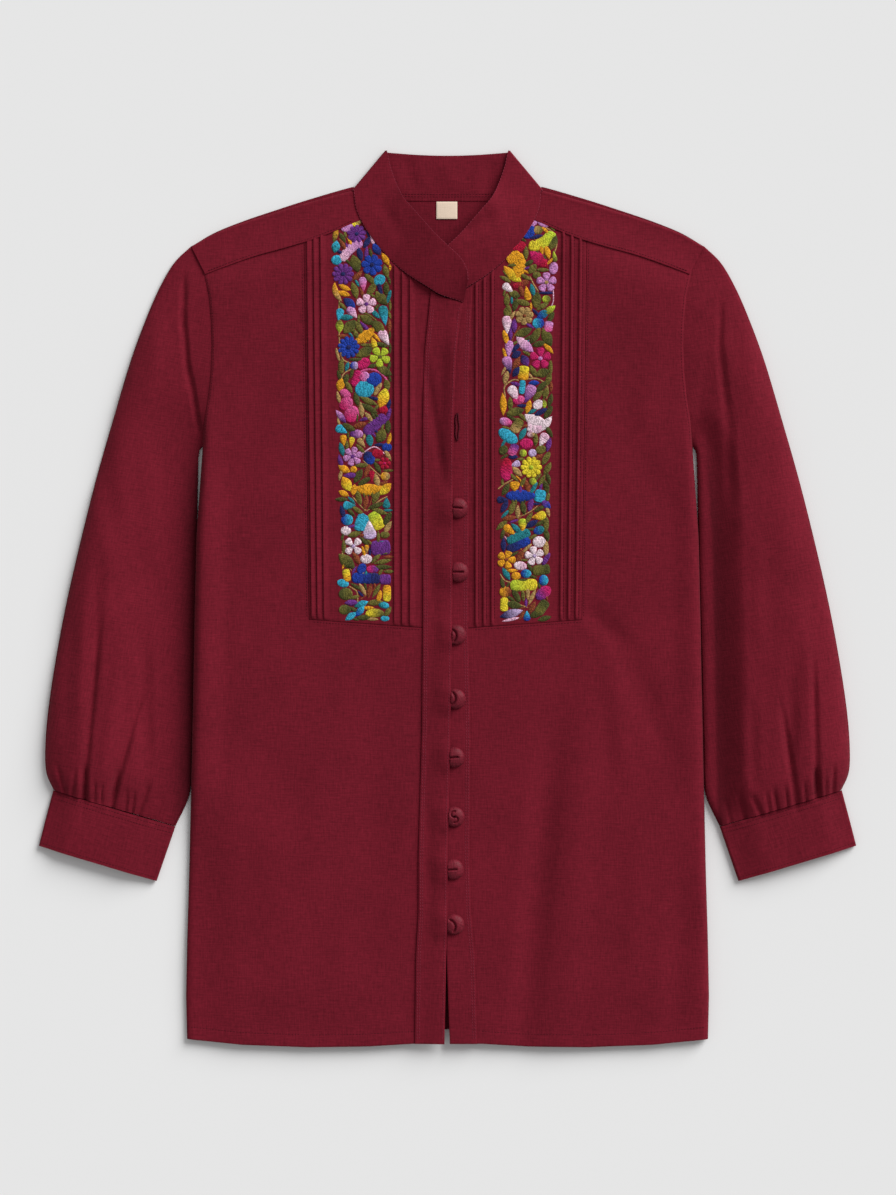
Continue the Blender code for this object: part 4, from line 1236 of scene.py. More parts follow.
@dataclass
class Band:
    """Embroidered band: flowers, leaves, drops, ovals, blocks and vines in filling stitches."""

    name: str
    finishes: Finishes
    flowers: tuple      # x, y, radius, petals, angle, petal yarn, centre yarn
    fills: tuple        # shape, x, y, length, width, angle, bend, yarn, second yarn
    vines: tuple        # yarn, width, points
    limits: tuple = ()      # x, y corners of the band
    swell: float = 1.12
    rise: float = 0.95
    steps: int = 12
    sides: int = 9
    pads: list = field(default_factory=list)
    taken: list = field(default_factory=list)

    def outline(self, shape: Shape, s: np.ndarray) -> np.ndarray:
        """Half width of a shape along its length, from 0 to 1."""
        if shape is Shape.LEAF:
            half = np.sin(math.pi * s) ** 0.85
        elif shape is Shape.DROP:
            half = (s ** 0.75) * np.sqrt(np.clip(1 - s**5, 0, 1)) * 1.12
        elif shape is Shape.OVAL:
            half = np.sqrt(np.clip(1 - (2 * s - 1) ** 2, 0, 1))
        elif shape is Shape.BLOCK:
            half = np.clip(1 - np.abs(2 * s - 1) ** 7, 0, 1) ** 0.4
        else:
            half = np.clip(1 - np.abs(2 * s - 1) ** 16, 0, 1) ** 0.5
        return np.maximum(half, 0.04)

    def pad(self, axis: np.ndarray, half: np.ndarray, first: Yarn, second: Yarn, lift: float) -> None:
        """Adds one raised fill along an axis.

        Its top is rise * (1 - across^2)^0.6 over the cloth, lower where it is narrow.

        Args:
            axis: plan of the middle line, points by two.
            half: half width at each of them.
            first, second: yarns at both ends.
            lift: extra height, for what lies on other fills.
        """
        ahead = np.gradient(axis, axis=0)
        ahead /= np.maximum(np.linalg.norm(ahead, axis=1, keepdims=True), 1e-9)
        aside = np.stack([-ahead[:, 1], ahead[:, 0]], axis=-1)
        across = np.linspace(-1.0, 1.0, self.sides)
        plan = axis[:, None] + aside[:, None] * (half[:, None] * across)[..., None]
        x, y = plan[..., 0], plan[..., 1]
        dome = (1 - np.abs(across) ** 2.4) ** 0.6
        high = self.rise * np.minimum(1.0, half / 1.8)[:, None] * dome
        ground = LIE.top(x, y)
        outer = points(x, y, ground + high + lift * (dome > 0) - 0.02)
        inner = points(x, y, ground - 0.4)
        verts, faces = shell(outer, inner)
        run = np.concatenate([[0.0], np.cumsum(np.linalg.norm(np.diff(axis, axis=0), axis=1))])
        tint = ease(np.linspace(-0.4, 1.4, len(axis)))[:, None, None]
        a, b = np.array(srgb(*first.value)), np.array(srgb(*second.value))
        colour = np.broadcast_to(a + (b - a) * tint, x.shape + (4,)).reshape(-1, 4)
        uv = np.stack(np.broadcast_arrays(half[:, None] * across + axis[0, 0] * 3,
                                          run[:, None] + axis[0, 1] * 3), axis=-1).reshape(-1, 2)
        self.pads.append((verts, faces, np.concatenate([colour, colour]), np.concatenate([uv, uv])))
        self.taken.append(plan[:, ::2].reshape(-1, 2))

    def fill(self, shape: Shape, x: float, y: float, length: float, width: float, angle: float,
             bend: float, first: Yarn, second: Yarn = None, lift: float = 0.0) -> None:
        """Adds a fill centred at x, y, bent by an angle along its length."""
        s = 0.5 - 0.5 * np.cos(np.linspace(0, math.pi, self.steps))
        turn = math.radians(angle) + math.radians(bend) * (s - 0.5)
        step = np.stack([np.cos(turn), np.sin(turn)], axis=-1) * length
        gaps = np.diff(s)[:, None] * (step[1:] + step[:-1]) / 2
        axis = np.concatenate([np.zeros((1, 2)), np.cumsum(gaps, axis=0)])
        axis = axis - (axis[0] + axis[-1]) / 2 + np.array([x, y])
        self.pad(axis, self.outline(shape, s) * width / 2, first, second or first, lift)

    def compose(self) -> None:
        """Adds vines, then leaves and fills, then flowers with their centres."""
        for yarn, width, path in self.vines:
            line = smooth(np.array(path, float), np.linspace(0, len(path) - 1, 6 * len(path)))
            half = self.outline(Shape.STRIP, np.linspace(0, 1, len(line))) * width / 2
            self.pad(line, half, yarn, yarn, 0.0)
        for shape, x, y, length, width, *rest in self.fills:
            row = (shape, x, y, length * self.swell, width * self.swell, *rest)
            self.fill(*row)
            if row[0] is Shape.LEAF and row[3] > 9.5 and row[7] in (Y.OLIVE, Y.MOSS):
                self.fill(Shape.STRIP, *row[1:3], row[3] * 0.8, 0.9, *row[5:7], Y.BEIGE, None, 0.35)
        for x, y, radius, petals, angle, yarn, centre in self.flowers:
            wide = 2 * radius * math.sin(math.pi / petals) * (1.0 if petals > 6 else 0.86)
            for k in range(petals):
                turn = angle + 360.0 * k / petals
                reach, turned = 0.53 * radius, math.radians(turn)
                at = (x + reach * math.cos(turned), y + reach * math.sin(turned))
                self.fill(Shape.DROP, *at, radius * 0.98, min(wide, radius), turn, 0.0, yarn, None,
                          0.12 * (k % 2))
            self.fill(Shape.OVAL, x, y, radius * 0.42, radius * 0.42, 0.0, 0.0, centre, None, 0.55)
        self.crowd()

    def cut_room(self, spot: np.ndarray, room: np.ndarray, part: np.ndarray) -> None:
        """Lowers the room at each spot to its distance from a fill, where that is under 9 mm."""
        low, high = part.min(axis=0) - 9.0, part.max(axis=0) + 9.0
        near = np.nonzero(((spot > low) & (spot < high)).all(axis=1))[0]
        apart = np.linalg.norm(spot[near, None] - part[None], axis=2).min(axis=1)
        room[near] = np.minimum(room[near], apart)

    def crowd(self, most: int = 150, gap: float = 0.5) -> None:
        """Fills what is left free with small leaves, each laid where and along where there is most room."""
        corner = np.array(self.limits)
        x, y = np.meshgrid(np.arange(corner[:, 0].min(), corner[:, 0].max(), 0.8),
                           np.arange(corner[:, 1].min(), corner[:, 1].max(), 0.8))
        spot = np.stack([x.ravel(), y.ravel()], axis=-1)
        after = np.roll(corner, -1, axis=0)
        edge = after - corner
        reach = spot[:, None] - corner[None]
        depth = (edge[:, 0] * reach[..., 1] - edge[:, 1] * reach[..., 0]) / np.linalg.norm(edge, axis=1)
        room = depth.min(axis=1) + 0.6
        spot, room = spot[room > 0.8], room[room > 0.8]
        for part in self.taken:
            self.cut_room(spot, room, part)
        yarns = (Yarn.OLIVE, Yarn.MOSS, Yarn.RUST, Yarn.OLIVE, Yarn.NAVY, Yarn.MOSS, Yarn.BEIGE, Yarn.TEAL,
                 Yarn.OLIVE, Yarn.PURPLE, Yarn.MOSS, Yarn.GOLD)
        for number in range(most):
            best = int(np.argmax(room))
            if room[best] < gap + 0.55:
                break
            at, free = spot[best], room[best] - gap
            near = np.linalg.norm(spot - at, axis=1) < 6.5
            ways = np.radians(np.arange(0, 180, 15))
            ray = (np.array([-1, 1])[:, None] * np.arange(0.8, 6.0, 0.8)).ravel()
            probe = at + ray[None, :, None] * np.stack([np.cos(ways), np.sin(ways)], axis=-1)[:, None]
            far = np.linalg.norm(probe[:, :, None] - spot[near][None, None], axis=3)
            clear = room[near][far.argmin(axis=2)] * (far.min(axis=2) < 0.9)
            score = np.minimum(clear, 1.6).sum(axis=1)
            way = int(np.argmax(score))
            length = float(np.clip(2 * free + 0.8 * (clear[way] > gap + 0.3).sum(), 2.0, 13.0))
            self.fill(Shape.LEAF if number % 5 else Shape.OVAL, *at, length, min(2 * free, 5.6),
                      math.degrees(ways[way]), 12.0 * (number % 3 - 1), yarns[number % len(yarns)])
            self.cut_room(spot, room, self.taken[-1])
            room[np.linalg.norm(spot - at, axis=1) < min(free, 2.6) + gap] = 0.0

    def build(self) -> bpy.types.Object:
        """All fills joined in one mesh, each corner coloured with its yarn."""
        self.compose()
        offset = np.cumsum([0] + [len(pad[0]) for pad in self.pads])
        verts = np.concatenate([pad[0] for pad in self.pads])
        faces = np.concatenate([pad[1] + start for pad, start in zip(self.pads, offset)])
        colours = np.concatenate([pad[2] for pad in self.pads])
        uv = np.concatenate([pad[3] for pad in self.pads])
        return Piece(self.name, verts, faces, self.finishes.yarn, "embroidery_thread", colours=colours,
                     uv=uv, sharp=75.0).build()


LEFT_FLOWERS = (
    (-80.0, 321.0, 8.4, 9, 10, Y.PURPLE, Y.NAVY), (-92.0, 285.5, 9.4, 10, 0, Y.PURPLE, Y.NAVY),
    (-66.5, 293.5, 9.2, 7, 20, Y.ROYAL, Y.NAVY), (-71.5, 259.0, 8.8, 5, 90, Y.PALE, Y.PURPLE),
    (-87.0, 221.0, 9.6, 11, 5, Y.ROYAL, Y.NAVY), (-59.5, 212.5, 9.0, 5, 50, Y.LIME, Y.OLIVE),
    (-83.5, 125.0, 8.4, 6, 15, Y.LILAC, Y.PURPLE), (-83.0, 46.0, 8.4, 4, 45, Y.WHITE, Y.LAVENDER),
    (-55.4, 119.0, 5.4, 6, 0, Y.CRIMSON, Y.MAGENTA),
)
LEFT_FILLS = (
    (O, -88.5, 327.0, 10.0, 8.0, 20, 0, Y.LILAC), (B, -80.5, 331.5, 7.5, 6.5, 40, 0, Y.YELLOW, Y.BEIGE),
    (L, -99.0, 321.0, 15.0, 4.5, 80, 10, Y.OLIVE, Y.GOLD), (L, -92.5, 317.5, 10.0, 4.0, -60, 0, Y.MOSS),
    (L, -98.4, 309.5, 10.0, 7.0, 80, 0, Y.TEAL, Y.TURQUOISE), (O, -97.6, 297.8, 8.4, 8.0, 0, 0, Y.TURQUOISE),
    (B, -84.0, 305.0, 23.0, 7.5, 42, -55, Y.PALE, Y.LILAC),
    (L, -81.0, 294.6, 14.5, 9.0, -72, 0, Y.OLIVE, Y.MOSS),
    (D, -66.6, 316.0, 8.0, 4.0, -68, 0, Y.PALE), (L, -62.4, 307.4, 11.0, 7.0, -58, 0, Y.ROYAL, Y.NAVY),
    (L, -71.5, 303.5, 12.0, 3.4, 86, 0, Y.PURPLE), (D, -74.4, 276.5, 11.5, 8.0, 96, 0, Y.PINK, Y.LILAC),
    (O, -60.0, 280.2, 10.0, 8.4, 35, 0, Y.TURQUOISE), (L, -67.4, 272.5, 13.0, 6.0, 55, 20, Y.OLIVE),
    (L, -58.0, 264.5, 14.5, 8.0, -48, 15, Y.OLIVE, Y.MOSS),
    (L, -96.0, 270.0, 17.0, 5.0, -70, 60, Y.GOLD, Y.BEIGE),
    (L, -90.5, 274.0, 11.0, 4.4, -25, 20, Y.GOLD), (L, -82.0, 271.0, 14.0, 6.0, -74, -10, Y.OLIVE),
    (L, -86.4, 260.0, 12.0, 7.0, -38, 0, Y.NAVY, Y.ROYAL),
    (D, -56.0, 249.0, 16.0, 10.0, 100, 0, Y.TURQUOISE, Y.TEAL),
    (D, -95.0, 249.4, 10.5, 8.0, 80, 0, Y.TURQUOISE), (D, -83.6, 251.6, 11.0, 9.0, 128, 0, Y.PALE, Y.LILAC),
    (L, -95.0, 240.0, 11.0, 6.5, -88, 0, Y.OLIVE, Y.LIME),
    (L, -86.4, 239.2, 14.0, 9.0, 48, 10, Y.OLIVE, Y.MOSS),
    (L, -78.0, 238.4, 12.0, 5.4, -62, 0, Y.OLIVE), (L, -71.0, 245.2, 13.0, 7.0, -35, 0, Y.OLIVE, Y.MOSS),
    (L, -61.0, 239.4, 14.0, 8.5, -42, 15, Y.MOSS, Y.OLIVE), (L, -73.6, 232.0, 21.0, 9.0, 36, 35, Y.GOLD),
    (D, -65.2, 225.6, 9.0, 7.0, -70, 0, Y.GOLD, Y.YELLOW),
    (D, -55.4, 229.4, 13.5, 10.0, 120, 0, Y.WHITE, Y.PALE),
    (L, -73.4, 217.0, 15.0, 8.0, 28, 15, Y.OLIVE, Y.MOSS), (O, -74.0, 206.6, 11.0, 9.0, 30, 0, Y.MAGENTA),
    (O, -82.0, 204.8, 6.6, 6.6, 0, 0, Y.ROYAL, Y.LAVENDER),
    (L, -55.6, 200.4, 14.0, 7.5, -30, 10, Y.OLIVE, Y.MOSS),
    (O, -73.2, 195.0, 8.5, 8.5, 0, 0, Y.PINK, Y.LILAC), (O, -64.6, 192.6, 12.0, 11.5, 0, 0, Y.ROYAL),
    (B, -81.4, 194.0, 13.0, 6.0, 70, 45, Y.MAGENTA), (O, -73.0, 184.2, 15.0, 14.0, 0, 0, Y.TURQUOISE),
    (L, -94.2, 188.0, 11.0, 7.0, 80, 0, Y.GOLD), (L, -89.4, 193.4, 9.0, 5.0, 70, 0, Y.MOSS),
    (L, -53.4, 188.0, 10.0, 5.4, -80, 0, Y.OLIVE), (L, -57.0, 176.6, 17.0, 9.5, 72, 10, Y.GOLD, Y.YELLOW),
    (L, -90.0, 180.4, 10.5, 7.0, -30, 0, Y.PINK), (O, -89.4, 171.4, 12.0, 10.0, 40, 0, Y.MAGENTA, Y.PINK),
    (O, -84.4, 162.2, 13.5, 12.0, 70, 0, Y.MAGENTA, Y.PINK),
    (L, -93.8, 160.0, 13.0, 5.0, -52, 0, Y.LILAC, Y.PURPLE),
    (L, -69.6, 174.0, 16.0, 5.0, -25, 10, Y.OLIVE), (L, -69.0, 167.6, 16.0, 5.0, -30, 10, Y.MOSS),
    (L, -75.8, 166.0, 13.0, 4.6, -84, 0, Y.BEIGE), (L, -69.4, 159.8, 10.0, 4.0, -50, 0, Y.BEIGE),
    (O, -56.4, 166.0, 7.4, 6.6, 0, 0, Y.CRIMSON), (B, -63.6, 152.8, 22.0, 9.0, 40, 0, Y.PURPLE),
    (D, -93.2, 148.4, 10.0, 9.0, 150, 0, Y.TURQUOISE), (O, -80.0, 144.8, 10.5, 7.0, 0, 0, Y.PURPLE, Y.LILAC),
    (D, -91.6, 139.0, 9.0, 7.0, 95, 0, Y.GOLD), (D, -84.6, 137.4, 8.6, 6.0, 80, 0, Y.GOLD, Y.YELLOW),
    (D, -75.6, 136.8, 9.0, 6.0, 130, 0, Y.BEIGE), (L, -68.6, 139.4, 11.0, 6.0, -80, 0, Y.TEAL),
    (L, -58.6, 143.0, 12.0, 9.0, 60, 0, Y.MOSS, Y.OLIVE), (O, -53.4, 133.0, 8.0, 7.0, 0, 0, Y.ROYAL),
    (O, -61.6, 127.6, 9.0, 7.5, 0, 0, Y.CRIMSON), (O, -69.0, 123.6, 11.0, 9.0, -60, 0, Y.NAVY, Y.ROYAL),
    (L, -90.8, 114.4, 11.0, 6.0, -30, 20, Y.GOLD), (O, -82.6, 113.6, 5.4, 5.4, 0, 0, Y.GOLD),
    (L, -78.6, 107.8, 13.0, 6.0, 60, 0, Y.MOSS), (L, -70.8, 112.6, 12.0, 4.6, 70, 0, Y.RUST),
    (D, -66.8, 107.4, 9.5, 6.0, 90, 0, Y.CRIMSON), (O, -54.8, 107.6, 7.4, 7.0, 0, 0, Y.GOLD, Y.BEIGE),
    (L, -89.0, 100.8, 13.0, 8.4, -62, 0, Y.GOLD, Y.YELLOW), (L, -82.4, 95.6, 9.0, 6.0, 80, 0, Y.GOLD),
    (L, -69.8, 98.4, 23.0, 9.5, 2, 50, Y.GOLD), (L, -54.8, 96.2, 13.0, 7.4, 45, 0, Y.YELLOW, Y.GOLD),
    (L, -91.4, 92.4, 9.0, 5.0, -25, 0, Y.GOLD), (D, -86.4, 81.8, 10.0, 9.0, 180, 0, Y.TEAL, Y.TURQUOISE),
    (D, -53.8, 84.2, 9.0, 8.0, -90, 0, Y.TEAL), (O, -88.4, 69.2, 9.4, 9.0, 0, 0, Y.ROYAL, Y.TURQUOISE),
    (B, -74.8, 66.6, 14.0, 10.0, 70, -30, Y.TURQUOISE),
    (B, -62.8, 68.4, 15.0, 10.0, -62, 0, Y.LIME, Y.YELLOW),
    (D, -68.8, 60.4, 15.0, 14.0, -88, 0, Y.WHITE, Y.LAVENDER), (O, -55.2, 56.0, 7.4, 5.6, 0, 0, Y.OLIVE),
    (O, -89.4, 59.6, 8.0, 7.4, 0, 0, Y.WHITE), (B, -58.8, 44.6, 15.5, 12.0, 5, 0, Y.PURPLE),
    (D, -71.2, 43.4, 7.0, 4.6, 90, 0, Y.BEIGE, Y.GOLD), (O, -71.6, 34.8, 9.4, 7.6, 0, 0, Y.WHITE),
    (L, -88.6, 33.0, 17.0, 9.4, -42, 10, Y.OLIVE, Y.MOSS), (L, -57.0, 32.4, 15.0, 4.0, 12, 0, Y.OLIVE),
    (L, -57.0, 27.6, 15.0, 4.0, 0, 0, Y.MOSS), (O, -75.6, 26.2, 9.0, 7.0, 60, 0, Y.ROYAL),
    (O, -66.2, 25.6, 9.6, 6.4, 0, 0, Y.MAGENTA, Y.PURPLE),
    (B, -71.6, 17.8, 23.0, 9.0, -2, 0, Y.ROYAL, Y.NAVY),
    (B, -54.9, 16.8, 9.0, 8.0, 0, 0, Y.PURPLE), (B, -88.8, 20.4, 10.0, 6.0, -80, 0, Y.YELLOW, Y.GOLD),
    (O, -92.0, 13.4, 9.4, 6.4, -15, 0, Y.TURQUOISE), (B, -53.4, 4.6, 13.0, 6.6, 90, 0, Y.YELLOW, Y.GOLD),
    (O, -89.6, 4.0, 11.0, 10.0, 0, 0, Y.MOSS, Y.OLIVE), (L, -74.8, 8.0, 12.0, 3.6, -60, 0, Y.BEIGE),
    (L, -68.6, 7.0, 13.0, 4.0, 80, 0, Y.RUST), (L, -62.6, 7.0, 13.0, 3.6, 60, 0, Y.OLIVE),
    (L, -76.0, -5.0, 12.0, 5.6, 20, 0, Y.TEAL, Y.TURQUOISE), (L, -64.0, -3.6, 14.0, 5.0, 5, 0, Y.OLIVE),
    (O, -56.2, -5.8, 9.0, 5.4, -15, 0, Y.TEAL, Y.TURQUOISE),
    (O, -90.4, -9.8, 9.6, 8.0, 0, 0, Y.OLIVE, Y.MOSS),
    (L, -85.0, -15.6, 11.0, 5.4, 35, 0, Y.TURQUOISE),
    (L, -77.0, -11.0, 11.0, 5.6, 50, 0, Y.ROYAL, Y.TURQUOISE),
    (O, -64.0, -13.8, 15.0, 7.0, 0, -30, Y.YELLOW, Y.OLIVE), (O, -55.0, -17.6, 7.0, 4.6, 0, 0, Y.TURQUOISE),
    (L, -60.0, 76.6, 14.0, 4.4, -18, 0, Y.OLIVE), (L, -63.0, 81.6, 15.0, 4.4, 20, 0, Y.MOSS),
    (L, -79.0, 77.4, 13.0, 4.0, -35, 0, Y.OLIVE), (L, -72.0, 84.4, 12.0, 4.4, 78, 0, Y.RUST),
)
LEFT_VINES = (
    (Y.BEIGE, 1.3, ((-95.0, 264.0), (-95.6, 252.0), (-95.4, 232.0), (-93.0, 212.0), (-84.0, 206.0))),
    (Y.OLIVE, 1.4, ((-78.0, 252.0), (-70.0, 250.0), (-62.0, 244.0))),
    (Y.BEIGE, 1.2, ((-84.0, 202.0), (-91.0, 198.0), (-94.0, 192.0))),
    (Y.PINK, 1.8, ((-80.0, 198.0), (-70.0, 201.5), (-60.0, 199.0), (-53.0, 191.0), (-52.5, 182.0))),
    (Y.PALE, 1.1, ((-76.0, 127.0), (-64.5, 133.4), (-55.0, 127.0))),
    (Y.BEIGE, 1.1, ((-75.0, 122.0), (-64.0, 112.0), (-55.0, 104.0))),
    (Y.BEIGE, 1.1, ((-84.0, 90.0), (-74.0, 79.0), (-70.0, 77.0))),
    (Y.RUST, 1.1, ((-82.0, 76.0), (-71.0, 78.0), (-66.0, 90.0))),
    (Y.BEIGE, 1.1, ((-71.0, 77.0), (-60.0, 86.0), (-52.5, 90.0))),
    (Y.BEIGE, 1.2, ((-87.0, 11.0), (-80.0, 6.0), (-79.0, -4.0))),
    (Y.RUST, 1.2, ((-77.0, -1.0), (-70.0, 4.0), (-60.0, 11.0))),
    (Y.BEIGE, 1.0, ((-93.0, 42.0), (-91.0, 34.0), (-84.0, 24.0))),
)
RIGHT_FLOWERS = (
    (87.0, 278.0, 8.8, 5, 90, Y.LILAC, Y.BEIGE), (67.5, 248.6, 8.0, 7, 10, Y.BEIGE, Y.RUST),
    (81.6, 211.2, 9.4, 5, 90, Y.MAGENTA, Y.LILAC), (73.6, 115.4, 9.4, 10, 0, Y.YELLOW, Y.LIME),
    (51.6, 34.2, 8.2, 5, 70, Y.GOLD, Y.RUST), (76.4, 37.4, 8.4, 5, 100, Y.WHITE, Y.LAVENDER),
)
